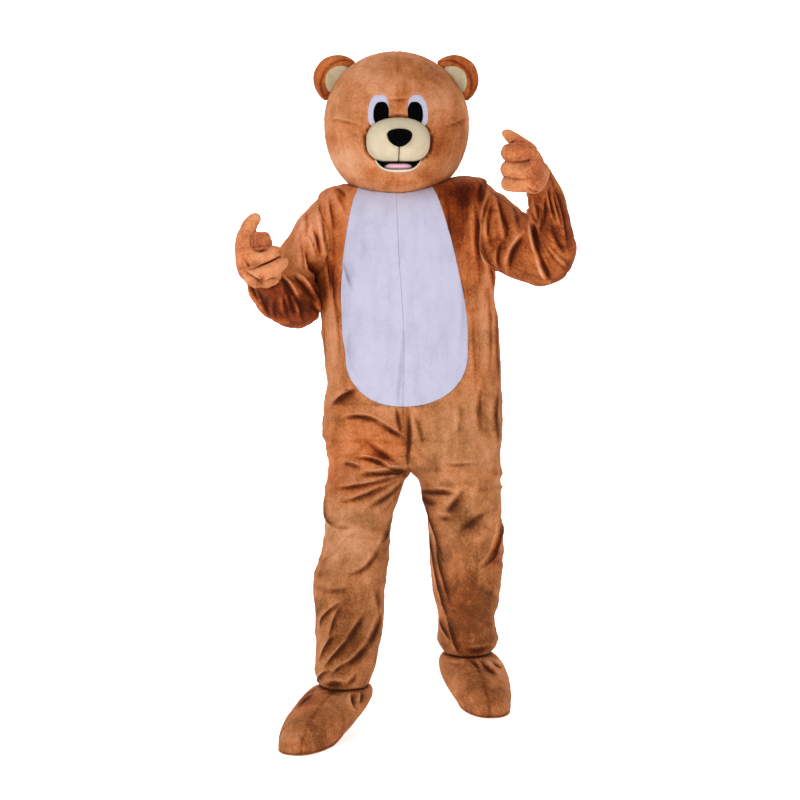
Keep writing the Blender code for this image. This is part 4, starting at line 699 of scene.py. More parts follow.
suit = {
    "cloth": 0.003, "bellyTop": 1.020, "bellyBottom": 0.879, "bellyRound": 2.2, "crotch": 0.686,
    "napeRise": 0.022, "napeFade": 0.10, "headSeat": 0.005, "seamGap": 0.0001, "hem": 0.130,
    "rows": 325, "columns": {"front": 94, "back": 47}, "arcRows": 26, "holeRows": 25,
    "bellyColumns": 34, "bellyLowerRows": 24, "bellySkip": 14,
    "torso": """
height  centre  left   right   leftRise rightRise middle front back wrap
1.4640  -0.011   0.137 -0.137   0.0420   0.0230   -0.004  0.110 0.112  90
1.4550  -0.011   0.166 -0.168   0.0570   0.0330   -0.002  0.120 0.124  90
1.4440  -0.010   0.204 -0.200   0.0680   0.0350    0.000  0.130 0.134  90
1.4250  -0.009   0.240 -0.226   0.0740   0.0330    0.000  0.140 0.140  90
1.4000  -0.008   0.256 -0.240   0.0620   0.0240    0.000  0.147 0.143  90
1.350   -0.005   0.263 -0.236   0.0300   0.0100    0.000  0.154 0.142  90
1.300   -0.003   0.267 -0.234   0.0140   0.0040    0.000  0.156 0.138  90
1.240    0.001   0.267 -0.235   0.0040   0.0000    0.000  0.157 0.132  90
1.180    0.005   0.263 -0.229   0.0000   0.0000    0.000  0.158 0.128  90
1.117    0.009   0.272 -0.221   0.0000   0.0000    0.000  0.158 0.126  90
1.040    0.011   0.278 -0.214   0.0000   0.0000    0.000  0.157 0.128  90
0.985    0.010   0.280 -0.206   0.0000   0.0000    0.000  0.154 0.134  90
0.935    0.009   0.281 -0.203   0.0000   0.0000    0.000  0.150 0.140  90
0.890    0.008   0.284 -0.212   0.0000   0.0000    0.000  0.147 0.144  90
0.826    0.011   0.289 -0.216   0.0000   0.0000    0.000  0.143 0.144  91
0.790    0.014   0.288 -0.216   0.0000   0.0000    0.000  0.140 0.141  95
0.760    0.017   0.287 -0.210   0.0000   0.0000    0.000  0.136 0.137 103
0.735    0.020   0.286 -0.206   0.0000   0.0000    0.000  0.132 0.133 116
0.712    0.024   0.286 -0.203   0.0000   0.0000    0.000  0.128 0.129 136
0.697    0.027   0.285 -0.203   0.0000   0.0000    0.000  0.125 0.126 156
""",
    "leftLeg": """
height  inner  outer  middle front back
0.686   0.029  0.285  0.000  0.123 0.124
0.655   0.058  0.285  0.004  0.119 0.120
0.618   0.067  0.288  0.010  0.115 0.117
0.576   0.079  0.288  0.018  0.111 0.113
0.520   0.084  0.290  0.030  0.107 0.108
0.479   0.087  0.294  0.041  0.105 0.105
0.429   0.090  0.295  0.053  0.103 0.102
0.375   0.094  0.294  0.066  0.101 0.100
0.325   0.099  0.290  0.078  0.098 0.098
0.280   0.109  0.282  0.089  0.095 0.096
0.239   0.115  0.274  0.099  0.091 0.092
0.200   0.116  0.276  0.109  0.087 0.087
0.166   0.113  0.284  0.117  0.082 0.082
0.146   0.120  0.279  0.119  0.077 0.077
0.130   0.129  0.270  0.120  0.073 0.073
""",
    "rightLeg": """
height  inner  outer  middle front back
0.686    0.029 -0.204  0.000 0.123 0.124
0.651    0.008 -0.207 -0.015 0.119 0.120
0.602   -0.010 -0.212 -0.037 0.114 0.116
0.560   -0.026 -0.209 -0.058 0.110 0.111
0.512   -0.033 -0.209 -0.081 0.106 0.107
0.453   -0.036 -0.219 -0.109 0.103 0.103
0.404   -0.041 -0.234 -0.133 0.101 0.101
0.351   -0.047 -0.237 -0.158 0.098 0.098
0.305   -0.048 -0.231 -0.180 0.094 0.094
0.255   -0.053 -0.231 -0.203 0.090 0.090
0.210   -0.064 -0.228 -0.225 0.086 0.086
0.180   -0.070 -0.230 -0.243 0.083 0.083
0.158   -0.077 -0.230 -0.257 0.080 0.078
0.142   -0.083 -0.225 -0.260 0.076 0.075
0.130   -0.085 -0.221 -0.260 0.072 0.072
""",
    "bellyEdge": """
height  left   right
1.4640  0.096  0.102
1.430   0.113  0.119
1.360   0.136  0.139
1.300   0.151  0.151
1.230   0.163  0.162
1.146   0.172  0.168
1.083   0.176  0.168
1.020   0.175  0.160
""",
    # how deep each kind of wrinkle is by height, in metres: down the cloth, across it, slanting and pleats
    "wrinkles": """
height  down   across slant  pleat
1.464   0.006  0.000  0.002  0.002
1.400   0.009  0.001  0.003  0.004
1.250   0.010  0.001  0.003  0.0035
1.100   0.008  0.002  0.003  0.002
0.950   0.006  0.003  0.004  0.0005
0.850   0.003  0.005  0.007  0.000
0.700   0.001  0.009  0.009  0.000
0.600   0.002  0.008  0.009  0.000
0.450   0.004  0.006  0.008  0.000
0.300   0.004  0.004  0.008  0.000
0.200   0.003  0.007  0.007  0.000
0.130   0.002  0.005  0.003  0.000
""",
    "frontShare": 0.40,      # of those wrinkles where the creases are listed in the table
    "bellyShare": 0.22, "insideShare": 0.30, "frontEnds": (0.44, 0.56), "insideEnds": (0.08, 0.92),
    # lump sizes of each kind of wrinkle, and the lean of the slanting ones in degrees
    "downCells": (0.040, 0.045, 0.30), "acrossCells": (0.17, 0.14, 0.038),
    "slantCells": (0.19, 0.13, 0.036),
    "pleatCells": (0.016, 0.06, 0.26), "slantLean": 38, "fine": 0.0012, "lumps": 0.0016,
    "hemRoll": 0.0035, "hemReach": 0.012,
    # metres of depth for a whole tone of painted shade and light, and how much of a seam's groove each
    # edge shows
    "velourLook": {"fold": 0.032, "seam": 0.030, "first": 0.30, "last": 0.60},
    "fleeceLook": {"fold": 0.030, "seam": 0.100, "first": 0.12, "last": 0.25},
}
creaseShade = 0.22              # how much the painted crease shade darkens the colour, and its painted highlight lightens the crest
armholes = {"left": {"top": 1.425, "bottom": 1.245, "spread": 36.0},
            "right": {"top": 1.425, "bottom": 1.232, "spread": 36.0}}
hand = {"left": 1.0, "right": -1.0}    # which way along X each side lies
headShape = {"centre": (-0.010, -0.020, 1.663), "radius": 0.203, "depth": 0.97, "up": 0.197,
             "down": 0.215, "square": 2.2, "turn": 1.7, "holeFront": 66.0, "holeBack": 56.0, "wall": 0.008}


def sideRows(side):
    torso, leg = columnsOf(suit["torso"]), columnsOf(suit[side + "Leg"])
    none = np.zeros(len(leg["height"]))
    rows = {"height": np.concatenate([torso["height"], leg["height"]]),
            "inner": np.concatenate([torso["centre"], leg["inner"]]),
            "outer": np.concatenate([torso[side], leg["outer"]]),
            "rise": np.concatenate([torso[side + "Rise"], none]),
            "wrap": np.concatenate([torso["wrap"], none + 180])}
    for name in ("middle", "front", "back"):
        rows[name] = np.concatenate([torso[name], leg[name]])
    return rows


suitRows = {side: sideRows(side) for side in hand}
bellyEdge = columnsOf(suit["bellyEdge"])
wrinkleDepths = columnsOf(suit["wrinkles"])


def headUnderside(x, y):
    centre = headShape["centre"]
    away = np.hypot(x - centre[0], (y - centre[1]) / headShape["depth"]) / headShape["radius"]
    power = headShape["square"]
    return centre[2] - headShape["down"] * (1 - np.minimum(away, 1) ** power) ** (1 / power)


def suitForm(side, height, t):
    # the suit without wrinkles; t runs from 0 in front, by 0.5 at the side, to 1 behind
    rows = suitRows[side]
    at = {name: easyCurve(rows["height"], rows[name], height) for name in rows if name != "height"}
    wrap = np.radians(at["wrap"])
    angle = wrap * (1 - 2 * t)
    radius = (at["outer"] - at["inner"]) / (1 - np.cos(wrap))
    depth = np.where(angle > 0, at["front"], at["back"])
    x = at["outer"] - radius + radius * np.cos(angle)
    y = at["middle"] - depth * np.sin(angle)
    top = np.clip(1 - (rows["height"].max() - height) / suit["napeFade"], 0, 1)
    nape = suit["napeRise"] * top * top * np.maximum(-np.sin(angle), 0) ** 2
    z = height + at["rise"] * np.maximum(np.cos(angle), 0) ** 1.5 + nape
    return np.stack([x, y, np.minimum(z, headUnderside(x, y) - suit["headSeat"])], axis=-1)


def suitNormals(side, height, t):
    low, high, step = suitRows[side]["height"].min(), suitRows[side]["height"].max(), 0.003
    down = suitForm(side, np.maximum(height - step, low), t)
    up = suitForm(side, np.minimum(height + step, high), t)
    across = suitForm(side, height, t + step) - suitForm(side, height, t - step)
    return unit(np.cross(up - down, across) * hand[side])


def clothRelief(points, height, t, share, pleated=True):
    # wrinkles and creases of the suit, and the painted shade of its sharp creases and of the hem's rolled
    # bottom;
    # they fade at the inside leg
    front = 1 - easeBetween(t, *suit["frontEnds"])
    first, last = suit["insideEnds"]
    inside = 1 - (easeBetween(t, 0.0, first) * (1 - easeBetween(t, last, 1.0)))
    inside = inside * easeBetween(suit["crotch"] + 0.01 - height, 0.0, 0.02)
    share = (share * front + 1 - front) * (1 - inside) + suit["insideShare"] * inside
    depths = {name: easyCurve(wrinkleDepths["height"], wrinkleDepths[name], height)
              for name in ("down", "across", "slant", "pleat")}
    soft = depths["down"] * wrinkles(points, suit["downCells"], 11)
    soft += depths["across"] * wrinkles(points, suit["acrossCells"], 23)
    lean = np.where(points[..., 0] > 0.02, 1.0, 0.0)
    slants = [wrinkles(turnedAbout(points, angle), suit["slantCells"], 37)
              for angle in (-suit["slantLean"], suit["slantLean"])]
    soft += depths["slant"] * (slants[0] * lean + slants[1] * (1 - lean))
    fine = suit["fine"] * cloud(points, (0.020, 0.020, 0.020), 51)
    fine += suit["lumps"] * cloud(points, (0.05, 0.05, 0.06), 57)
    ahead, line = creases(points, front * (1 - 0.5 * inside), 0, creaseTable)
    behind, shade = creases(points, (1 - front) * (1 - inside), 0, backCreases)
    depth = soft * share + fine * np.minimum(share * 2, 1) + ahead + behind
    if pleated:
        depth += depths["pleat"] * front * wrinkles(points, suit["pleatCells"], 61)
    hem = np.exp(-(height - suit["hem"]) / suit["hemReach"])
    depth += suit["hemRoll"] * hem * (1 + 0.8 * cloud(points, (0.018, 0.018, 0.10), 67))
    # painted shade along the sharp creases, front and back, and under the hem's roll
    return depth, line + shade + 0.5 * hem ** 3


def bellyHalfWidth(side, height):
    plain = easyCurve(bellyEdge["height"], bellyEdge[side], height)
    drop = np.clip((suit["bellyTop"] - height) / (suit["bellyTop"] - suit["bellyBottom"]), 0, 1)
    return plain * (1 - drop ** suit["bellyRound"]) ** (1 / suit["bellyRound"])


def bellyT(side, height):
    rows = suitRows[side]
    outer = easyCurve(rows["height"], rows["outer"], height)
    inner = easyCurve(rows["height"], rows["inner"], height)
    share = np.clip(bellyHalfWidth(side, height) / np.abs(outer - inner), 0, 0.95)
    return np.where(height > suit["bellyBottom"], (1 - np.arccos(share) / (math.pi / 2)) / 2, 0.0)


def arcHeights(count):
    # heights along the belly panel's round lower edge
    drop = np.sin(np.radians(np.linspace(0, 90, count))) ** (2 / suit["bellyRound"])
    return suit["bellyTop"] - (suit["bellyTop"] - suit["bellyBottom"]) * drop


def armholeSpan(side):
    hole = armholes[side]
    return (hole["top"] + hole["bottom"]) / 2, (hole["top"] - hole["bottom"]) / 2


def armholeOpening(side, height):
    middle, half = armholeSpan(side)
    away = np.clip(np.abs(height - middle) / half, 0, 1)
    return armholes[side]["spread"] / 90 * np.sqrt(1 - away * away) / 2


def suitHeights(side):
    top, bottom = suitRows[side]["height"].max(), suitRows[side]["height"].min()
    share = np.linspace(0, 1, suit["rows"] + 1)
    plain = top - (top - bottom) * share * (0.55 + 0.45 * share ** 0.5)
    middle, half = armholeSpan(side)
    hole = middle + half * np.cos(np.linspace(0, math.pi, suit["holeRows"]))
    every = np.sort(np.concatenate([plain, arcHeights(suit["arcRows"]), hole]))[::-1]
    return every[np.concatenate([[True], np.diff(every) < -2e-4])]


def suitPiece(name, side, height, t, share, finish):
    # lays one panel on the form with its wrinkles, seams and edge gaps
    look = suit[finish + "Look"]
    form, normals = suitForm(side, height, t), suitNormals(side, height, t)
    front = 1 - easeBetween(t, *suit["frontEnds"])
    depth, line = clothRelief(form, height, t, share, finish == "velour")
    across = alongRows(form)
    down = np.cumsum(np.concatenate([np.zeros((1, form.shape[1])),
                                     np.linalg.norm(np.diff(form, axis=0), axis=-1)]), axis=0)
    dip = look["first"] * seamDip(across, down, 1.0)
    dip += look["last"] * seamDip(across[:, -1:] - across, down, 2.0)
    if finish == "fleece":
        dip += look["last"] * seamDip(down[-1:] - down, across, 3.0)
    points = form + normals * (depth + dip)[..., None]
    centre = easyCurve(suitRows[side]["height"], suitRows[side]["inner"],
                       np.maximum(height, suit["crotch"]))
    beyond = hand[side] * (points[..., 0] - centre)
    least = np.where(height > suit["crotch"] - 0.02, suit["seamGap"] / 2, -1.0)
    points[..., 0] = np.where(beyond < least, centre + hand[side] * suit["seamGap"] / 2, points[..., 0])
    patches, rust = napAndShadePatches(form, front, {"fleece": 8, "velour": 0}[finish])
    # painted shade in troughs, seam grooves and along creases, painted light on ridges, and the nap
    # patches
    tones = 0.5 + depth / look["fold"] + dip / look["seam"] + patches - creaseShade * line
    rust = rust + 0.25 + 0.50 * easeBetween(height, 0.75, 1.25)
    print(name, "cloth", round(clothArea(points), 3))
    return shapedGrid(name, points, finish, outward=normals, tones=tones, rust=rust, thick=suit["cloth"])


def hangPanel(node, slot, cut, *panel):
    # cut is the flat size and the area of the cloth; it is not used
    piece = finished(suitPiece(f"{node}_cloth", *panel), slot, node)


suitCuts = {"front": ((0.46, 1.50), 0.42), "back": ((0.50, 1.50), 0.55), "belly": ((0.20, 0.62), 0.10)}
for side in hand:
    heights = suitHeights(side)
    opening = armholeOpening(side, heights)
    for face in ("front", "back"):
        share = crowdedEnds(suit["columns"][face] + 1)
        if face == "front":
            first, last = bellyT(side, heights), 0.5 - opening
        else:
            first, last = 0.5 + opening, np.ones(len(heights))
        t = first[:, None] + (last - first)[:, None] * share
        height = np.repeat(heights[:, None], len(share), axis=1)
        hangPanel(f"suit_{face}_{side}", "brown_plush", suitCuts[face],
                  side, height, t, suit["frontShare"], "velour")
    # from the bottom centre up to the corner
    arc = arcHeights(suit["bellyColumns"] + 1 + suit["bellySkip"])[suit["bellySkip"]:][::-1]
    corner = arc[-1]
    straight = heights[heights > corner + 1e-3]
    share = crowdedEnds(suit["bellyColumns"] + 1)
    lower = np.linspace(0, 1, suit["bellyLowerRows"])[:, None]
    cornerT, arcT = bellyT(side, np.array([corner])) * share, bellyT(side, arc)
    t = np.vstack([bellyT(side, straight)[:, None] * share, cornerT + (arcT - cornerT) * lower])
    height = np.vstack([np.repeat(straight[:, None], len(share), axis=1),
                        corner + (arc - corner) * lower])
    hangPanel(f"belly_{side}", "white_fleece", suitCuts["belly"],
              side, height, t, suit["bellyShare"], "fleece")
print("suit laid")

sleeves = {
    "around": 144, "steps": 10, "cloth": 0.003, "frontCalm": 0.50, "creaseGain": 1.2,
    "part": {"left": 2, "right": 1}, "seed": {"left": 71, "right": 83}, "forearm": (0.44, 0.50),
    "elbow": (0.52, 0.20), "elbowFold": 0.013, "fold": 0.004, "endFold": 0.007, "endReach": 0.22,
    "lump": 0.0015, "gather": 0.0045, "gatherReach": 0.035, "cuffHem": 0.018, "pleat": 0.0022,
    "left": """
x      y      z      lean   pitch  over   fore
0.271  -0.004 1.3620  93.0    0.0  0.1130 0.096
0.300  -0.008 1.3470  95.0    0.0  0.1150 0.098
0.329  -0.014 1.3290  98.5    0.0  0.1120 0.099
0.360  -0.022 1.3160 104.0   -4.0  0.1130 0.100
0.390  -0.036 1.3150 113.0  -10.0  0.1095 0.100
0.413  -0.056 1.3305 126.0  -20.0  0.1020 0.097
0.4215 -0.080 1.3560 138.5  -30.0  0.0905 0.088
0.419  -0.112 1.3845 149.0  -38.0  0.0780 0.076
0.412  -0.145 1.4065 154.0  -44.0  0.0675 0.065
0.403  -0.175 1.4290 163.0  -48.0  0.0575 0.056
0.393  -0.205 1.4555 180.0  -50.0  0.0480 0.048
0.3810 -0.230 1.4765 201.0  -50.0  0.0420 0.043
0.3725 -0.250 1.4930 217.0  -48.0  0.0395 0.041
""",
    "right": """
x       y      z      lean   pitch  over   fore
-0.2455 -0.004 1.3280  84.0    2.0  0.0965 0.091
-0.2605 -0.008 1.3080  74.5    4.0  0.0880 0.092
-0.2690 -0.012 1.2780  62.5    6.0  0.0840 0.094
-0.2800 -0.017 1.2500  50.5    9.0  0.0850 0.095
-0.2935 -0.026 1.2210  41.0   16.0  0.0845 0.100
-0.3005 -0.044 1.1930  29.0   30.0  0.0860 0.104
-0.3055 -0.078 1.1760  17.0   50.0  0.0850 0.105
-0.3200 -0.124 1.1830  10.0   64.0  0.0805 0.096
-0.3385 -0.168 1.2010   6.0   70.0  0.0735 0.080
-0.3520 -0.208 1.2240   4.0   72.0  0.0650 0.061
-0.3600 -0.238 1.2400   3.0   72.0  0.0560 0.051
-0.3615 -0.254 1.2475   3.0   70.0  0.0510 0.047
-0.3620 -0.270 1.2550   3.0   68.0  0.0490 0.045
""",
}


def ringPoints(row, sign, angles, shrink=0.0):
    # an oval ring: angle 0 is its over side, and a quarter turn on is its fore side
    lean, pitch = math.radians(row["lean"]), math.radians(row["pitch"])
    over = np.array([sign * math.cos(lean), 0.0, math.sin(lean)]) * (row["over"] - shrink)
    fore = np.array([0.0, -math.cos(pitch), math.sin(pitch)]) * (row["fore"] - shrink)
    power = 2 / row.get("square", 2.0)
    across, along = powered(np.cos(angles), power), powered(np.sin(angles), power)
    return np.array([row["x"], row["y"], row["z"]]) + across[:, None] * over + along[:, None] * fore


def armholeLoop(side, angles):
    middle, half = armholeSpan(side)
    height, t = middle + half * np.cos(angles), 0.5 - armholes[side]["spread"] / 180 * np.sin(angles)
    form = suitForm(side, height, t)
    depth, _ = clothRelief(form, height, t, suit["frontShare"])
    return form + suitNormals(side, height, t) * depth[..., None]


def sleevePoints(side):
    angles = ringAngles(sleeves["around"])
    rings = [ringPoints(row, hand[side], angles) for row in rowsOf(sleeves[side])]
    loop = armholeLoop(side, angles)
    grid = finerRows(np.stack([loop] + rings), sleeves["steps"])
    # the first stretch leaves the armhole straight, without the curve's swing
    first = sleeves["steps"]
    share = np.linspace(0, 1, first, endpoint=False)[:, None, None]
    grid[:first] = loop * (1 - share) + rings[0] * share
    return angles, grid


for side in hand:
    angles, grid = sleevePoints(side)
    normals = gridNormals(grid, True) * hand[side]
    centre = grid.mean(axis=1)
    run = runAlong(centre)
    place = (run / run[-1])[:, None]
    radius = np.linalg.norm(grid - centre[:, None], axis=-1).mean(axis=1, keepdims=True)
    tube = np.stack([np.cos(angles)[None] * radius, np.sin(angles)[None] * radius,
                     np.repeat(run[:, None] * 1.6, len(angles), axis=1)], axis=-1)
    seed, part = sleeves["seed"][side], sleeves["part"][side]
    elbow = bell(place, *sleeves["elbow"])
    ends = np.clip(sum(bell(place, end, sleeves["endReach"]) for end in (0.05, 0.95)), 0, 1)
    soft = sleeves["elbowFold"] * elbow * wrinkles(tube, (0.13, 0.13, 0.045), seed)
    soft += (sleeves["fold"] + sleeves["endFold"] * ends) * wrinkles(tube, (0.034, 0.034, 0.30), seed + 9)
    soft += sleeves["lump"] * cloud(tube, (0.022, 0.022, 0.03), seed + 5)
    gather = np.exp(-(1 - place) * run[-1] / sleeves["gatherReach"])
    soft += sleeves["gather"] * gather * (cloud(tube, (0.011, 0.011, 0.12), seed + 14) - 0.2)
    soft += sleeves["pleat"] * bell(place, 0.12, 0.14) * wrinkles(tube, (0.016, 0.016, 0.25), seed + 21)
    facing = easeBetween(-normals[..., 1], 0.05, 0.30)
    lower = easeBetween(place, *sleeves["forearm"]) * np.ones(facing.shape)
    folds = (creases(grid, facing * (1 - lower), 0, creaseTable),
             creases(grid, facing * lower, part, creaseTable),
             creases(grid, (1 - facing) * lower, part, backCreases))
    sharp, line = (sum(fold[k] for fold in folds) for k in (0, 1))
    hold = easeBetween(place, 0.0, 0.06)          # the armhole seam stays where the suit's is
    depth = (soft * (1 - sleeves["frontCalm"] * facing) + sleeves["creaseGain"] * sharp) * hold
    away = run[:, None] * np.ones(depth.shape)
    dip = 0.3 * seamDip(away, runAlong(grid[0])[None], 4.0)
    # the casing of the cuff's elastic
    dip += 0.35 * seamDip(np.abs(run[-1] - away - sleeves["cuffHem"]), away, 0.0)
    points = grid + normals * (depth + dip)[..., None]
    patches, rust = napAndShadePatches(grid, facing, part)
    # painted shade in troughs, seam grooves and along creases, painted light on ridges, and the nap
    # patches
    tones = 0.47 + depth / 0.030 + dip / 0.040 + patches - creaseShade * line
    print("sleeve", side, "cloth", round(clothArea(points, True), 3), "long", round(run[-1], 3))
    piece = shapedGrid(f"sleeve_{side}_cloth", points, "velour", wrapped=True, outward=normals,
                       tones=tones, rust=rust + 0.70, thick=sleeves["cloth"])
    finished(piece, "brown_plush", f"sleeve_{side}")
print("sleeves laid")

gloves = {
    "cell": 0.0026, "smoothing": {"left": 9, "right": 3}, "grooves": {"left": 0.4, "right": 1.0},
    "swell": 0.0022, "cloth": 0.003, "tuck": 0.0054, "root": 0.016, "fold": 0.0016, "lump": 0.0009,
    "groove": 0.0022, "knuckles": {"left": 0.3415, "right": 0.3885}, "knuckleIn": 0.004,
    "part": {"left": 6, "right": 5}, "around": 48, "fingerAround": 28, "fingerRings": 16,
    "mouthReach": 0.022,            # how far past the cuff the relief takes to reach its full depth
    "mouthShare": 0.3,              # where the glove's cloth starts, between the sleeve's last two rings
    "left": """
x      y      z      lean   pitch  over   fore   square
0.3680 -0.264 1.4990 214.0  -52.0  0.0365 0.0400 2.0
0.3640 -0.284 1.5040 204.0  -54.0  0.0285 0.0490 2.4
0.3570 -0.302 1.5170 192.0  -40.0  0.0215 0.0480 3.0
0.3575 -0.304 1.5400 184.0  -16.0  0.0210 0.0420 3.0
0.3540 -0.300 1.5600 180.0   -4.0  0.0175 0.0340 3.0
0.3490 -0.296 1.5740 180.0    0.0  0.0110 0.0260 2.6
0.3465 -0.294 1.5800 180.0    0.0  0.0060 0.0140 2.2
""",
    "right": """
x       y      z      lean   pitch  over   fore   square
-0.3650 -0.286 1.2560   0.0   76.0  0.0500 0.0475 2.0
-0.3790 -0.299 1.2600   0.0   84.0  0.0440 0.0475 2.1
-0.3860 -0.296 1.2660   0.0   90.0  0.0320 0.0420 2.2
-0.4030 -0.315 1.2800   0.0  104.0  0.0260 0.0450 3.0
-0.4060 -0.332 1.3040   0.0  136.0  0.0265 0.0430 3.0
-0.4060 -0.340 1.3300   0.0  165.0  0.0260 0.0370 3.0
-0.4040 -0.342 1.3540   0.0  176.0  0.0215 0.0290 2.6
-0.4015 -0.343 1.3645   0.0  180.0  0.0185 0.0200 2.2
""",
    # a finger from its root over its bend to its tip; number 0 is the thumb
    "fingers": """
hand number x1      y1     z1     x2      y2     z2     x3      y3     z3     high   deep  taper
 1   1      0.3345 -0.313 1.5620  0.3060 -0.316 1.5660  0.2655 -0.317 1.5660 0.0240 0.028 0.95
 1   2      0.3411 -0.315 1.5210  0.3020 -0.319 1.5230  0.2650 -0.319 1.5220 0.0235 0.030 0.95
 1   3      0.3411 -0.313 1.4850  0.3030 -0.317 1.4860  0.2670 -0.317 1.4880 0.0210 0.029 0.92
 1   0      0.3400 -0.267 1.5750  0.3050 -0.270 1.6020  0.2730 -0.270 1.6260 0.0205 0.019 0.55
-1   1     -0.3881 -0.346 1.3385 -0.3560 -0.352 1.3380 -0.3665 -0.384 1.3390 0.0190 0.015 1.00
-1   2     -0.3881 -0.350 1.2900 -0.3520 -0.358 1.3000 -0.3090 -0.356 1.3070 0.0225 0.028 0.78
-1   3     -0.3881 -0.352 1.2470 -0.3500 -0.360 1.2580 -0.2940 -0.359 1.2860 0.0215 0.026 0.85
-1   4     -0.3700 -0.345 1.3270 -0.3520 -0.350 1.3275 -0.3370 -0.352 1.3270 0.0145 0.018 0.90
-1   0     -0.4000 -0.343 1.3600 -0.3900 -0.347 1.3830 -0.3670 -0.350 1.4020 0.0205 0.019 0.60
""",
    "profile": ((0.0, 0.5, 0.80, 0.95, 1.0), (1.0, 1.04, 0.94, 0.58, 0.0)),
}


def fingerRings(row, angles):
    start, bend, tip = (np.array([row[f"{axis}{k}"] for axis in "xyz"]) for k in (1, 2, 3))
    forward = unit(bend - start)
    share = np.linspace(0, 1, gloves["fingerRings"])
    control = 2 * bend - (start + tip) / 2
    line = (((1 - share) ** 2)[:, None] * start + (2 * share * (1 - share))[:, None] * control
            + (share ** 2)[:, None] * tip)
    line = np.vstack([start - forward * gloves["root"], line])
    wide = easyCurve(*map(np.array, gloves["profile"]), share) * (1 + (row["taper"] - 1) * share)
    wide = np.concatenate([[0.9], wide])
    rings = []
    for k, place in enumerate(line):
        ahead = unit(line[min(k + 1, len(line) - 1)] - line[max(k - 1, 0)])
        deep = unit(np.array([0.0, -1.0, 0.0]) + ahead * ahead[1])
        high = np.cross(ahead, deep)
        around = (powered(np.cos(angles), 0.8)[:, None] * deep * row["deep"]
                  + powered(np.sin(angles), 0.8)[:, None] * high * row["high"])
        rings.append(place + around * max(wide[k], 0.03))
    return np.stack(rings), line


def fused(name, parts, finish, smoothing):
    # one skin round several closed shapes
    bm = bmesh.new()
    for part in parts:
        bm.from_mesh(part.data)
        bpy.data.objects.remove(part)
    mesh = bpy.data.meshes.new(name)
    bm.to_mesh(mesh)
    bm.free()
    piece = placed(name, mesh)
    skin = piece.modifiers.new("skin", "REMESH")
    skin.mode, skin.voxel_size = "VOXEL", gloves["cell"]
    ease = piece.modifiers.new("ease", "SMOOTH")
    ease.factor, ease.iterations = 0.5, smoothing
    whole = bpy.data.meshes.new_from_object(piece.evaluated_get(bpy.context.evaluated_depsgraph_get()))
    piece.modifiers.clear()
    piece.data = whole
    whole.materials.clear()
    whole.materials.append(materials[finish])
    whole.shade_smooth()
    return piece


def meshPoints(mesh):
    points, normals = np.empty(len(mesh.vertices) * 3), np.empty(len(mesh.vertices) * 3)
    mesh.vertices.foreach_get("co", points)
    mesh.vertex_normals.foreach_get("vector", normals)
    return points.reshape(-1, 3) + (0, 0, shoulderHeight), normals.reshape(-1, 3)


for side in hand:
    angles = ringAngles(gloves["around"])
    cuff = rowsOf(sleeves[side])[-2:]
    rings = [ringPoints(row, hand[side], angles, gloves["tuck"]) for row in cuff]
    rings += [ringPoints(row, hand[side], angles) for row in rowsOf(gloves[side])]
    palm = finerRows(np.stack(rings), 4)
    knuckles = gloves["knuckles"][side] - gloves["knuckleIn"]
    palm[8:, :, 0] = hand[side] * np.maximum(hand[side] * palm[8:, :, 0], knuckles)
    parts = [shapedGrid("palm", palm, "glove", wrapped=True, closed=True)]
    lines = []
    for row in rowsOf(gloves["fingers"]):
        if row["hand"] == hand[side]:
            rings, line = fingerRings(row, ringAngles(gloves["fingerAround"]))
            parts.append(shapedGrid("finger", rings, "glove", wrapped=True, closed=True))
            lines.append(line)
    piece = fused(f"glove_{side}_cloth", parts, "glove", gloves["smoothing"][side])
    points, normals = meshPoints(piece.data)
    facing = easeBetween(-normals[:, 1], 0.0, 0.25)
    part = gloves["part"][side]
    depth, dark = creases(points, facing, part, creaseTable)
    depth += gloves["swell"] + gloves["lump"] * cloud(points, (0.012, 0.012, 0.012), 91)
    depth += gloves["fold"] * wrinkles(points, (0.05, 0.02, 0.02), 93)
    # between two fingers the nearest two centre lines are as far away
    away = np.sort([np.linalg.norm(points[:, None] - line[None], axis=-1).min(axis=1)
                    for line in lines[:3]], axis=0)
    groove = np.exp(-np.abs(away[1] - away[0]) / 0.006) * np.exp(-np.clip(away[0] - 0.012, 0, 1) / 0.018)
    groove = groove * gloves["grooves"][side]
    depth -= gloves["groove"] * groove
    patches, rust = napAndShadePatches(points, facing, part)
    # painted shade in the grooves between the fingers and along the creases, painted light on the swells
    tones = 0.5 + (depth - gloves["swell"]) / 0.020 - 0.20 * groove + patches - 0.24 * dark
    mouth = [np.array([row["x"], row["y"], row["z"]]) for row in cuff]
    over, fore = ringPoints(cuff[1], hand[side], np.array([0, math.pi / 2])) - mouth[1]
    outward = hand[side] * unit(np.cross(over, fore))
    beyond = (points - mouth[1]) @ outward
    depth *= easeBetween(beyond, 0.0, gloves["mouthReach"])     # in the sleeve's mouth it lies flat
    moved = points + normals * depth[:, None] - (0, 0, shoulderHeight)
    piece.data.vertices.foreach_set("co", moved.ravel())
    for layer, values in (("fold", tones), ("rust", rust + 0.5)):
        field = piece.data.attributes.new(layer, "FLOAT", "POINT")
        field.data.foreach_set("value", np.clip(values, 0, 1).astype(np.float32))
    late = gloves["mouthShare"]
    cut = (1 - late) * mouth[0] + late * mouth[1] - (0, 0, shoulderHeight)
    bm = bmesh.new()
    bm.from_mesh(piece.data)
    bmesh.ops.bisect_plane(bm, geom=bm.verts[:] + bm.edges[:] + bm.faces[:], plane_co=cut,
                           plane_no=-outward, clear_outer=True)
    print("glove", side, "cloth", round(sum(face.calc_area() for face in bm.faces), 3))
    bm.to_mesh(piece.data)
    bm.free()
    addWall(piece, gloves["cloth"])
    finished(piece, "brown_plush", f"glove_{side}_hand", f"glove_{side}_thumb",
             *(f"glove_{side}_finger_{number}" for number in (1, 2, 3)))
print("gloves laid")

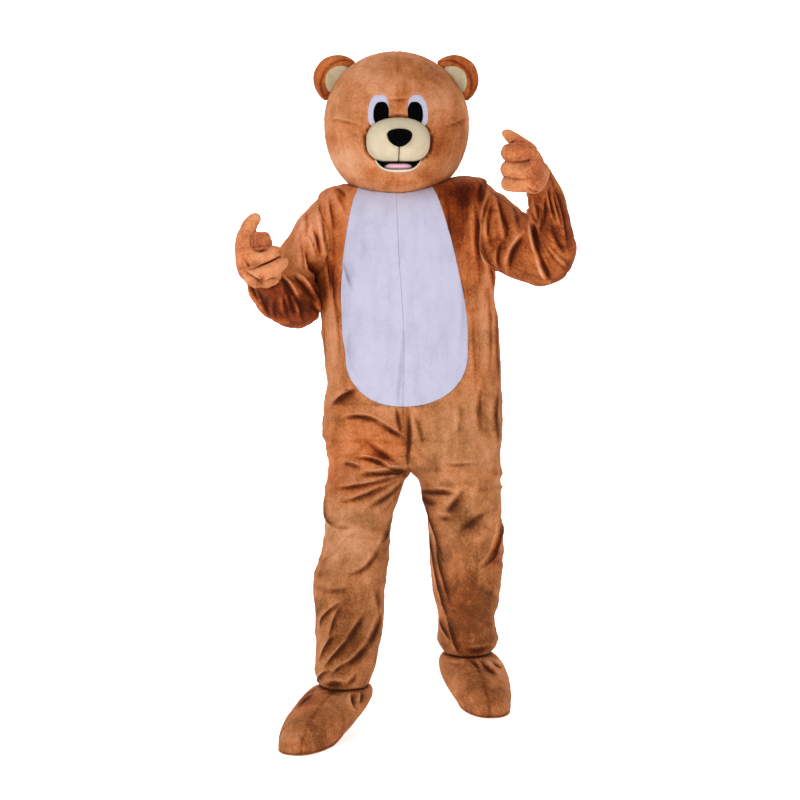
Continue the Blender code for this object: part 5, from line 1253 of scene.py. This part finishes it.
shoes = {
    "around": 132, "steps": 9, "cloth": 0.003, "length": 0.360, "halfWidth": 0.068, "taper": 0.22,
    "sole": 0.0045, "hem": 0.130, "liftFloor": 0.006, "tuck": 0.0054, "part": {"left": 4, "right": 3},
    "lie": (0.026, 0.045), "gather": 0.0090, "gatherReach": 0.030, "fold": 0.0030, "lump": 0.0008,
    "shadow": (0.024, 0.009),       # under the trouser hem: how far down the cover, and its reach
    "left": {"ankle": (0.1995, 0.120), "turn": 10.5, "heelBack": 0.078, "shift": 0.014,
             "heelLift": 0.030},
    "right": {"ankle": (-0.1530, -0.260), "turn": -22.5, "heelBack": 0.078, "shift": -0.028,
              "heelLift": 0.045},
    "rings": """
toeReach toeHeight sideReach sideHeight bulge
0.00     0.152     0.00      0.152      0.000
0.00     0.126     0.00      0.126      0.000
0.10     0.118     0.10      0.112      0.019
0.32     0.105     0.30      0.090      0.029
0.56     0.089     0.55      0.064      0.030
0.78     0.066     0.80      0.040      0.023
0.93     0.037     0.94      0.020      0.012
0.985    0.0165    1.00      0.009      0.004
1.00     0.0050    1.00      0.0050     0.000
""",
}


def footWays(side):
    turn = math.radians(shoes[side]["turn"])
    toe = np.array([math.sin(turn), -math.cos(turn), 0.0])
    across = np.array([math.cos(turn), math.sin(turn), 0.0])
    return np.array([*shoes[side]["ankle"], 0.0]), toe, across


def soleOutline(side, angles):
    # the sole's edge; angle 0 is the toe and half a turn the heel
    ankle, toe, across = footWays(side)
    half = shoes["length"] / 2
    along = half - shoes[side]["heelBack"] + half * np.cos(angles)
    wide = shoes["halfWidth"] * powered(np.sin(angles), 0.85)
    wide = wide * (1 + shoes["taper"] * np.cos(angles)) + shoes[side]["shift"]
    return ankle + along[:, None] * toe + wide[:, None] * across


def lifted(side, points):
    # raises what lies behind the ball of the foot, as the heel rises
    ankle, toe, _ = footWays(side)
    foot = shoes[side]
    behind = np.clip(1 - ((points - ankle) @ toe + foot["heelBack"]) / (0.66 * shoes["length"]), 0, 1)
    low = np.clip((shoes["hem"] - points[..., 2]) / (shoes["hem"] - shoes["liftFloor"]), 0, 1)
    points[..., 2] += foot["heelLift"] * behind ** 1.2 * low
    return points


def ankleOutline(side, angles):
    rows = suitRows[side]
    ankle, toe, across = footWays(side)
    halfX = abs(rows["outer"][-1] - rows["inner"][-1]) / 2 - shoes["tuck"]
    halfY = rows["front"][-1] - shoes["tuck"]
    ways = np.cos(angles)[:, None] * toe + np.sin(angles)[:, None] * across
    return ankle + ways / np.hypot(ways[:, 0] / halfX, ways[:, 1] / halfY)[:, None]


for side in hand:
    rings = {name: values[:, None, None] for name, values in columnsOf(shoes["rings"]).items()}
    angles = ringAngles(shoes["around"])
    edge, ankleEdge = soleOutline(side, angles), ankleOutline(side, angles)
    toward = np.clip(np.cos(angles), 0, 1)[None, :, None] ** 1.3
    reach, height = (rings[f"side{kind}"] * (1 - toward) + rings[f"toe{kind}"] * toward
                     for kind in ("Reach", "Height"))
    grid = ankleEdge[None] + (edge - ankleEdge)[None] * reach
    ankle, toe, across = footWays(side)
    grid += unit(ankleEdge - ankle)[None] * rings["bulge"] * (1 - 0.6 * toward)
    grid[..., 2] = height[..., 0]
    grid = finerRows(lifted(side, grid), shoes["steps"])
    normals = gridNormals(grid, True)
    normals *= np.sign((normals * (grid - grid.mean(axis=(0, 1)))).sum())
    steps = np.linalg.norm(np.diff(grid, axis=0), axis=-1).mean(axis=1)
    down = np.concatenate([[0], np.cumsum(steps)])[:, None]
    part = shoes["part"][side]
    sharp, line = creases(grid, easeBetween(-normals[..., 1], -0.15, 0.15), part, creaseTable)
    hold = easeBetween(down, *shoes["lie"])
    gather = np.exp(-np.clip(down - shoes["lie"][0], 0, 1) / shoes["gatherReach"])
    around = np.stack([np.cos(angles)[None] * 0.09 + 0 * down, np.sin(angles)[None] * 0.09 + 0 * down,
                       down + 0 * angles[None]], axis=-1)
    soft = shoes["gather"] * gather * wrinkles(around, (0.016, 0.016, 0.10), 101 + part)
    soft += (shoes["fold"] * wrinkles(grid, (0.09, 0.06, 0.05), 111 + part)
             + shoes["lump"] * cloud(grid, (0.02, 0.02, 0.02), 113))
    off = np.abs((grid - ankle) @ across)
    seam = (seamDip(off, (grid - ankle) @ toe, 5.0)
            + seamDip(down[-1] - down + 0 * off, angles[None] * 0.12, 6.0))
    depth = (soft * (1 - easeBetween(down / down[-1], 0.9, 1.0)) + sharp) * hold
    points = grid + normals * (depth + seam * hold)[..., None]
    patches, rust = napAndShadePatches(grid, 1.0, part)
    shadow = bell(down, *shoes["shadow"])
    # painted shade in troughs, seam grooves and along creases, painted light on ridges, and the painted
    # shadow under the hem
    tones = 0.5 + depth / 0.022 + seam / 0.014 + patches - creaseShade * line - 0.55 * shadow
    print("shoe cover", side, "cloth", round(clothArea(points, True), 3))
    piece = shapedGrid(f"shoe_{side}_cloth", points, "velour", wrapped=True, outward=normals,
                       tones=tones, rust=rust + 0.35, thick=shoes["cloth"])
    finished(piece, "brown_plush", f"shoe_{side}_outer", f"shoe_{side}_inner")
    middle = edge.mean(axis=0)
    shares = np.array([0.02, 0.5, 0.93, 0.985, 1.0, 0.985, 0.93, 0.5, 0.02])
    heights = np.array([1.0, 1.0, 0.97, 0.8, 0.5, 0.2, 0.03, 0.0, 0.0]) * shoes["sole"]
    pad = middle + (edge - middle)[None] * shares[:, None, None]
    rise = lifted(side, pad.copy() * (1, 1, 0))[..., 2]
    pad[..., 2] = rise + heights[:, None] * 0.94
    sole = shapedGrid(f"shoe_{side}_sole_cloth", pad, "velour", wrapped=True, closed=True)
    finished(sole, "brown_plush", f"shoe_{side}_sole")
print("shoe covers laid")

headCover = {"quarter": 46, "rows": 128, "pole": 89.6, "lumps": 0.0022, "folds": 0.0012, "fine": 0.0006,
             "eyeRim": 0.0030, "muzzleSeam": 0.0020, "seamSwell": 0.0010}
earShape = {"radius": 0.0665, "centre": (0.1620, 0.1205), "setBack": 0.022, "half": 0.018, "cup": 0.010,
            "from": 0.03, "to": 0.97, "rows": 20, "columns": 56, "edge": 0.003, "roll": 0.0030,
            "lift": 0.0012, "lumps": 0.0016, "patchRows": 14, "patchColumns": 44,
            "patchFrom": 0.20, "patchTo": 0.80, "patchReach": 0.53, "patchCloth": 0.0025}
face = {
    "muzzle": {"x": 0.000, "z": -0.0590, "halfX": 0.0860, "halfZ": 0.0600, "out": 0.080, "power": 2.3,
               "lowPower": 2.6},
    "nose": {"x": 0.001, "z": -0.0560, "halfX": 0.0320, "halfZ": 0.0240, "out": 0.013, "taper": 0.32},
    "eyes": {"left": {"x": 0.0530, "z": 0.020, "halfX": 0.0270, "halfZ": 0.043, "lean": -0.10},
             "right": {"x": -0.0540, "z": 0.020, "halfX": 0.0270, "halfZ": 0.043, "lean": 0.10}},
    "pupils": {"left": {"x": 0.0457, "z": 0.013, "halfX": 0.0205, "halfZ": 0.031, "lean": -0.05},
               "right": {"x": -0.0468, "z": 0.013, "halfX": 0.0205, "halfZ": 0.031, "lean": 0.05}},
    "felt": 0.002, "laidOn": 0.0005, "mouthHalf": 0.055, "tongueHalf": 0.040, "thread": 0.0013,
    "groove": 0.0055, "cheeks": 0.0045,     # the stitched line's groove, and the cheeks beside it
    "grooveFrom": 0.072, "grooveTo": 0.090, # below the centre, where the groove begins and is full
    "around": {"eye": 96, "muzzle": 120, "nose": 72, "thread": 10},
}


def placeHead(points):
    turn = math.radians(headShape["turn"])
    x, y, z = points[..., 0], points[..., 1], points[..., 2]
    turned = np.stack([x * math.cos(turn) - y * math.sin(turn),
                       x * math.sin(turn) + y * math.cos(turn), z], axis=-1)
    return turned + np.array(headShape["centre"])


def faceDepth(x, z):
    # how far in front of its centre the head's surface is
    tall = np.where(z < 0, headShape["down"], headShape["up"])
    power = np.where(z < 0, headShape["square"], 2.0)
    radius = headShape["radius"] * np.maximum(1 - (np.abs(z) / tall) ** power, 0) ** (1 / power)
    return headShape["depth"] * np.sqrt(np.maximum(radius ** 2 - x ** 2, 0))


def muzzleReach(x, z):
    # 0 at the muzzle's middle and 1 at its edge
    shape = face["muzzle"]
    power = np.where(z < shape["z"], shape["lowPower"], shape["power"])
    wide = np.abs((x - shape["x"]) / shape["halfX"]) ** power
    tall = np.abs((z - shape["z"]) / shape["halfZ"]) ** power
    return (wide + tall) ** (1 / power)


def muzzleDepth(x, z):
    shape = face["muzzle"]
    edge = np.clip(muzzleReach(x, z), 0, 1)
    plain = faceDepth(x, z) + 0.004 + shape["out"] * (1 - edge ** 2.6) ** 0.55
    below = easeBetween(-z, face["grooveFrom"], face["grooveTo"]) * (1 - edge ** 6)
    groove = -face["groove"] * np.exp(-(np.abs(x - shape["x"]) / 0.006) ** 1.5) * below
    cheeks = face["cheeks"] * bell(np.abs(x - shape["x"]), 0.034, 0.022) * below
    return plain + groove + cheeks


def muzzleEdge(x, up):
    shape = face["muzzle"]
    power = shape["power"] if up > 0 else shape["lowPower"]
    share = np.clip(np.abs(x - shape["x"]) / shape["halfX"], 0, 1)
    return shape["z"] + up * shape["halfZ"] * (1 - share ** power) ** (1 / power)


def oval(feature, angles):
    x = feature["halfX"] * powered(np.cos(angles), 0.72)
    z = feature["halfZ"] * powered(np.sin(angles), 0.9)
    return feature["x"] + x + feature["lean"] * z, feature["z"] + z


def ovalReach(feature, x, z):
    z = z - feature["z"]
    return np.hypot((x - feature["x"] - feature["lean"] * z) / feature["halfX"], z / feature["halfZ"])


quarter = crowdedEnds(headCover["quarter"] + 1, 0.6)[:-1] * 90
longitude = np.radians(np.concatenate([quarter, quarter + 90, quarter + 180, quarter + 270]))[None, :]
hole = (-(headShape["holeFront"] + headShape["holeBack"]) / 2
        - (headShape["holeFront"] - headShape["holeBack"]) / 2 * np.cos(longitude))
share = np.linspace(0, 1, headCover["rows"])[:, None]
latitude = np.radians(headCover["pole"] + (hole - headCover["pole"]) * share)
power = np.where(latitude < 0, 2 / headShape["square"], 1.0)
radius = headShape["radius"] * np.cos(latitude) ** power
tall = np.where(latitude < 0, headShape["down"], headShape["up"])
x, y = radius * np.sin(longitude), -headShape["depth"] * radius * np.cos(longitude)
z = tall * np.sign(latitude) * np.abs(np.sin(latitude)) ** power
own = np.stack([x, y, z], axis=-1)
grid = placeHead(own)
normals = gridNormals(grid, True)
normals *= np.sign((normals * (grid - np.array(headShape["centre"]))).sum())
front = easeBetween(-y, 0.0, 0.05)
depth = headCover["lumps"] * cloud(grid, (0.10, 0.10, 0.09), 131)
depth += headCover["folds"] * wrinkles(grid, (0.05, 0.05, 0.03), 133)
depth += headCover["fine"] * cloud(grid, (0.02, 0.02, 0.02), 137)
rim = 0
for feature in face["eyes"].values():
    reach = ovalReach(feature, x, z)
    rim = np.maximum(rim, bell(reach, 1.14, 0.11) * front)
    depth *= np.where(reach < 1.3, np.clip((reach - 1.0) / 0.3, 0, 1), 1)
depth += headCover["eyeRim"] * rim
muzzleRim = muzzleReach(x, z)
depth -= headCover["muzzleSeam"] * bell(muzzleRim, 1.04, 0.04) * front
relief, line = creases(grid, front, 7, creaseTable)
depth += relief
darts = np.where((np.abs(x) > 0.150) & (y < 0), np.abs(z), 1.0)
seams = np.minimum(np.minimum(np.abs(x), np.abs(y)), darts)
covered = np.minimum(np.clip((muzzleRim - 0.9) / 0.1, 0, 1) + (1 - front), 1)
faint = 0.30 + 0.35 * easeBetween(z, 0.11, 0.17) + 0.35 * (1 - front)
dip = faint * seamDip(seams, (x + y + z) * 1.3, 7.0) * covered
# the foam swells beside each seam
depth += headCover["seamSwell"] * faint * bell(seams, 0.009, 0.006) * covered
points = grid + normals * (depth + dip)[..., None]
# painted shade darkens the creases and seam grooves and painted light the ridges; the colour is also
# darker on top and lighter under the chin
tones = (0.55 + depth / 0.022 + dip / 0.030 - 0.20 * line
         - 0.06 * easeBetween(z, 0.02, 0.19) + 0.05 * easeBetween(-z, 0.02, 0.14))
patches, rust = napAndShadePatches(grid, front, 7)
# painted shade round the eyes' rims and where the muzzle stands out from the head
tones += patches - 0.10 * rim
tones -= 0.35 * bell(muzzleRim, 1.03, 0.05) * front
cover = shapedGrid("head_cover", points, "velour", wrapped=True, outward=normals, tones=tones,
                   rust=rust + 0.45, thick=headShape["wall"])
finished(cover, "brown_plush", *(f"head_{part}_{side}" for part in ("face_upper", "face_lower", "back")
                                 for side in hand))
print("head laid")


def headRing(angle, back):
    shrink = math.sqrt(1 - (back / (headShape["depth"] * headShape["radius"])) ** 2)
    return np.stack([headShape["radius"] * shrink * np.cos(angle),
                     headShape["up"] * shrink * np.sin(angle)], axis=-1)


def earGrids(sign, first, last, reach, rows, columns, rounded=0.0):
    # front and back of an ear from the head to its rim; a rounded one is a half-moon
    back, centre = earShape["setBack"], np.array(earShape["centre"])
    angles = np.linspace(0, math.pi / 2, 1801)
    gap = np.hypot(*(headRing(angles, back) - centre).T) - earShape["radius"]
    crossing = angles[np.nonzero(np.diff(np.sign(gap)))[0]]
    low, high = headRing(crossing[:1], back)[0], headRing(crossing[-1:], back)[0]
    start = math.atan2(*(low - centre)[::-1])
    stop = math.atan2(*(high - centre)[::-1]) % (2 * math.pi)
    s = np.linspace(first, last, columns)[:, None]
    moon = np.sin(math.pi * (0.03 + 0.94 * (s - first) / (last - first))) ** 0.5
    r = np.linspace(0, 1, rows)[None, :] ** 0.8 * reach * (1 - rounded * (1 - moon))
    around = (start + (stop - start) * s)[:, 0]
    rim = centre + earShape["radius"] * np.stack([np.cos(around), np.sin(around)], axis=-1)
    root = headRing(crossing[0] + (crossing[-1] - crossing[0]) * s[:, 0], back)
    root = root * (1 + earShape["lift"] / headShape["radius"])
    flat = root[:, None] + (rim - root)[:, None] * r[..., None]
    swell = (1 - (r * 0.985) ** 3.0) ** 0.5 * np.sin(math.pi * (0.04 + 0.92 * s)) ** 0.4
    half = earShape["edge"] + (earShape["half"] - earShape["edge"]) * swell
    cup = earShape["cup"] * (1 - r) * np.ones_like(s)
    roll = earShape["roll"] * bell(r, 0.80, 0.14)       # the rim's own padding
    front = np.stack([sign * flat[..., 0], back - half + cup - roll, flat[..., 1]], axis=-1)
    rear = np.stack([sign * flat[..., 0], back + half + 0.2 * cup, flat[..., 1]], axis=-1)
    return placeHead(front), placeHead(rear)


for side in hand:
    front, rear = earGrids(hand[side], earShape["from"], earShape["to"], 1.0,
                           earShape["rows"], earShape["columns"])
    edge, behind = front[:, -1], rear[:, -1]
    outward = unit(edge - front[:, 0].mean(axis=0))
    turn = np.linspace(0, math.pi, 7)[1:-1]
    thick = np.linalg.norm(edge - behind, axis=-1)[:, None]
    tip = [(edge + behind) / 2 + (edge - behind) / 2 * math.cos(t)
           + outward * 0.4 * thick * (math.sin(t) - 0.35) for t in turn]
    grid = np.concatenate([front, np.stack(tip, axis=1), rear[:, ::-1]], axis=1)
    lumps = earShape["lumps"] * cloud(grid, (0.03, 0.03, 0.03), 151)
    normals = gridNormals(grid, False)
    grid = grid + normals * lumps[..., None]
    places = np.linspace(0, 1, earShape["rows"])
    places = np.concatenate([places, np.ones(len(turn)), places[::-1]])[None, :]
    # painted light on the lumps and painted shade in a ring where the rim's roll meets the inner patch
    tones = 0.40 + lumps / 0.02 - 0.14 * bell(places, 0.58, 0.06) + 0 * grid[..., 0]
    ear = shapedGrid(f"ear_{side}_pad", grid, "velour", closed=True, tones=tones, rust=0.9)
    finished(ear, "brown_plush", f"ear_{side}")
    rows, columns = earShape["patchRows"], earShape["patchColumns"]
    front, _ = earGrids(hand[side], earShape["patchFrom"], earShape["patchTo"], earShape["patchReach"],
                        rows, columns, rounded=1.0)
    ahead = np.array([0.0, -1.0, 0.0])
    share = np.linspace(0, 1, columns)[:, None]
    rim = np.minimum(share, 1 - share) * 8
    rim = np.clip(np.minimum(rim, (1 - np.linspace(0, 1, rows)[None, :]) * 6 + 0.15), 0.1, 1)
    high = front + ahead * (face["laidOn"] + earShape["patchCloth"] * rim ** 0.5)[..., None]
    low = front + ahead * face["laidOn"]
    grid = np.concatenate([high, low[:, ::-1]], axis=1)
    patch = shapedGrid(f"ear_inner_{side}_pad", grid, "cream", closed=True, tones=0.36)
    finished(patch, "cream_plush", f"ear_inner_{side}")


def faceGrid(x, z, under, over):
    # closed pad between two depths in front of the head's centre; rows run from the middle to the edge
    front = placeHead(np.stack([x, -over(x, z), z], axis=-1))
    rear = placeHead(np.stack([x, -under(x, z), z], axis=-1))
    return np.concatenate([front, rear[::-1]], axis=0)


def polarPad(name, edgeX, edgeZ, middle, under, over, finish, rings, tones=None):
    share = (1 - (1 - np.linspace(0.02, 1, rings)) ** 1.6)[:, None]
    x = middle[0] + (edgeX - middle[0])[None, :] * share
    z = middle[1] + (edgeZ - middle[1])[None, :] * share
    grid = faceGrid(x, z, under, over)
    shades = 0.5 if tones is None else np.concatenate([tones(x, z), np.full(x.shape, 0.5)], axis=0)
    return shapedGrid(name, grid, finish, wrapped=True, closed=True, tones=shades)


def flatOval(name, feature, base, finish, rings=14):
    x, z = oval(feature, ringAngles(face["around"]["eye"]))
    z = np.maximum(z, muzzleEdge(x, 1) + 0.0015)
    middle = (feature["x"], feature["z"])

    def over(px, pz):
        rim = np.clip((1 - ovalReach(feature, px, pz)) / 0.10, 0, 1)
        return faceDepth(px, pz) + base + face["felt"] * (0.5 + 0.7 * rim ** 0.5)

    return polarPad(name, x, z, middle, lambda px, pz: faceDepth(px, pz) + base, over, finish, rings)


for side in hand:
    white = flatOval(f"eye_{side}_pad", face["eyes"][side], face["laidOn"], "white")
    finished(white, "white_felt", f"eye_{side}")
    black = flatOval(f"pupil_{side}_pad", face["pupils"][side],
                     face["laidOn"] * 2 + face["felt"], "black")
    finished(black, "black_felt", f"pupil_{side}")

shape = face["muzzle"]
angles = ringAngles(face["around"]["muzzle"])
power = np.where(angles > math.pi, shape["lowPower"], shape["power"])
edgeX = shape["x"] + shape["halfX"] * powered(np.cos(angles), 2 / power)
edgeZ = shape["z"] + shape["halfZ"] * powered(np.sin(angles), 2 / power)


def noseAway(x, z):
    # 0 at the nose's middle and 1 at its edge
    nose = face["nose"]
    return np.hypot((x - nose["x"]) / nose["halfX"], (z - nose["z"]) / nose["halfZ"])


def muzzleTones(x, z):
    # painted shade round the nose, towards the muzzle's edge and in the stitched groove below the nose
    away = noseAway(x, z)
    tone = 0.55 - 0.16 * np.exp(-(np.maximum(away - 1, 0) / 0.25))
    tone = tone - 0.14 * np.clip((muzzleReach(x, z) - 0.8) / 0.2, 0, 1)
    groove = np.exp(-(np.abs(x - shape["x"]) / 0.005) ** 1.5)
    return tone - 0.2 * groove * easeBetween(-z, face["grooveFrom"], face["grooveTo"])


muzzle = polarPad("muzzle_pad", edgeX, edgeZ, (shape["x"], shape["z"]),
                  lambda x, z: faceDepth(x, z) + face["laidOn"], muzzleDepth, "cream", 36, muzzleTones)
finished(muzzle, "cream_plush", "muzzle")

nose = face["nose"]
angles = ringAngles(face["around"]["nose"])
taper = 1 + nose["taper"] * np.sin(angles)


def noseOver(x, z):
    dome = np.sqrt(np.maximum(1 - np.clip(noseAway(x, z), 0, 1) ** 2.5, 0))
    return muzzleDepth(x, z) + 0.0042 + nose["out"] * dome


snout = polarPad("nose_pad", nose["x"] + nose["halfX"] * np.cos(angles) * taper,
                 nose["z"] + nose["halfZ"] * powered(np.sin(angles), 0.85), (nose["x"], nose["z"]),
                 lambda x, z: muzzleDepth(x, z) + 0.0012, noseOver, "black", 20)
finished(snout, "black_felt", "nose")


def faceStrip(name, half, low, high, out, finish, columns, rows=14):
    # a pad between two curves across the face, rounded at its edges
    u = crowdedEnds(columns, 0.3)[None, :] * 2 - 1
    x = shape["x"] + half * u
    share = np.linspace(0, 1, rows)[:, None]
    z = low(x) + (high(x) - low(x)) * share
    x = x + 0 * z
    rise = (1 - np.abs(u) ** 2.4) ** 0.5 * (0.55 + 0.45 * (1 - np.abs(2 * share - 1) ** 2.2) ** 0.5)
    front = placeHead(np.stack([x, -faceDepth(x, z) - 0.003 - (out + 0.003) * rise, z], axis=-1))
    rear = placeHead(np.stack([x, -faceDepth(x, z) - face["laidOn"], z], axis=-1))
    return shapedGrid(name, np.concatenate([front, rear[::-1]], axis=0), finish, closed=True)


def lipHigh(x):
    # the lower lip's inner edge, a wide U that holds the tongue
    return -0.1362 + 0.0180 * np.abs((x - shape["x"]) / face["mouthHalf"]) ** 4


def tongueHigh(x):
    dome = np.sqrt(np.clip(1 - ((x - shape["x"]) / face["tongueHalf"]) ** 2, 0, 1))
    return np.minimum(lipHigh(x) + 0.0190 * dome, muzzleEdge(x, -1) - 0.001)


def lipLow(x):
    away = np.abs((x - shape["x"]) / face["mouthHalf"])
    return -0.1440 + 0.0105 * away ** 2 + 0.0083 * away ** 6


mouth = faceStrip("mouth_pad", face["mouthHalf"], lambda x: tongueHigh(x) + face["laidOn"],
                  lambda x: muzzleEdge(x, -1) - face["laidOn"], 0.036, "black", 72)
finished(mouth, "black_felt", "mouth")
tongue = faceStrip("tongue_pad", face["tongueHalf"], lambda x: lipHigh(x) + face["laidOn"],
                   tongueHigh, 0.040, "pink", 56)
finished(tongue, "pink_felt", "tongue")
lip = faceStrip("lower_lip_pad", face["mouthHalf"] + 0.007, lipLow, lipHigh, 0.044, "lip", 80)
finished(lip, "cream_plush", "lower_lip")

# the stitched line from the nose to the mouth: a thick dark thread lying in its groove
down = np.linspace(-0.0765, -0.1165, 30)
turn = ringAngles(face["around"]["thread"])[None, :]
x = shape["x"] + face["thread"] * np.cos(turn) + 0 * down[:, None]
z = down[:, None] + 0 * turn
reach = muzzleDepth(x * 0 + shape["x"], z) + face["thread"] * (0.6 + np.sin(turn))
thread = shapedGrid("muzzle_stitch", placeHead(np.stack([x, -reach, z], axis=-1)), "black",
                    wrapped=True, closed=True)
finished(thread, "black_felt")
print("face laid")

studio = {
    "floor": 40.0, "paper": "#FAFAFA", "floorGlow": 0.62, "backdropGlow": 1.05,
    "backdrop": (0.0, 9.0, 6.0), "world": 0.30,
    "lights": """
x     y     z    size  power
-1.9 -3.6   1.9  2.2    95
 2.6 -3.2   0.9  2.6    35
 0.3  2.6   2.2  2.0    40
""",
    "aim": (0.0, 0.0, -0.10),
}


def paperMaterial(name, glow):
    # seamless paper lit evenly, so that it shows white
    material, tree = blankMaterial(name)
    paper = addNode(tree, "ShaderNodeBsdfPrincipled",
                    {"Base Color": colourOf(studio["paper"]), "Roughness": 0.9, "Specular IOR Level": 0.1,
                     "Emission Color": colourOf("#FFFFFF"), "Emission Strength": glow})
    addNode(tree, "ShaderNodeOutputMaterial", {"Surface": paper.outputs["BSDF"]})
    return material


for name, glow, size, turn, place in (
        ("floor", studio["floorGlow"], studio["floor"], 0, (0, 0, -shoulderHeight)),
        ("backdrop", studio["backdropGlow"], studio["floor"], 90, studio["backdrop"])):
    bm = bmesh.new()
    bmesh.ops.create_grid(bm, x_segments=4, y_segments=4, size=size / 2)
    bmesh.ops.rotate(bm, verts=bm.verts, matrix=Matrix.Rotation(math.radians(turn), 3, "X"))
    bmesh.ops.translate(bm, verts=bm.verts, vec=place)
    mesh = bpy.data.meshes.new(name)
    bm.to_mesh(mesh)
    bm.free()
    mesh.materials.append(paperMaterial(f"paper_matt_{name}", glow))
    placed(name, mesh)

world = bpy.data.worlds.new("studio")
bpy.context.scene.world = world
world.use_nodes = True
background = world.node_tree.nodes["Background"]
background.inputs["Color"].default_value = colourOf("#FFFFFF")
background.inputs["Strength"].default_value = studio["world"]
for number, row in enumerate(rowsOf(studio["lights"])):
    lamp = bpy.data.lights.new(f"softbox_{number + 1}", "AREA")
    lamp.shape, lamp.size, lamp.energy = "DISK", row["size"], row["power"]
    light = placed(lamp.name, lamp)
    light.location = (row["x"], row["y"], row["z"])
    light.rotation_euler = (Vector(studio["aim"]) - light.location).to_track_quat("-Z", "Y").to_euler()
bpy.context.scene.view_settings.view_transform = "Standard"

print("scene done")
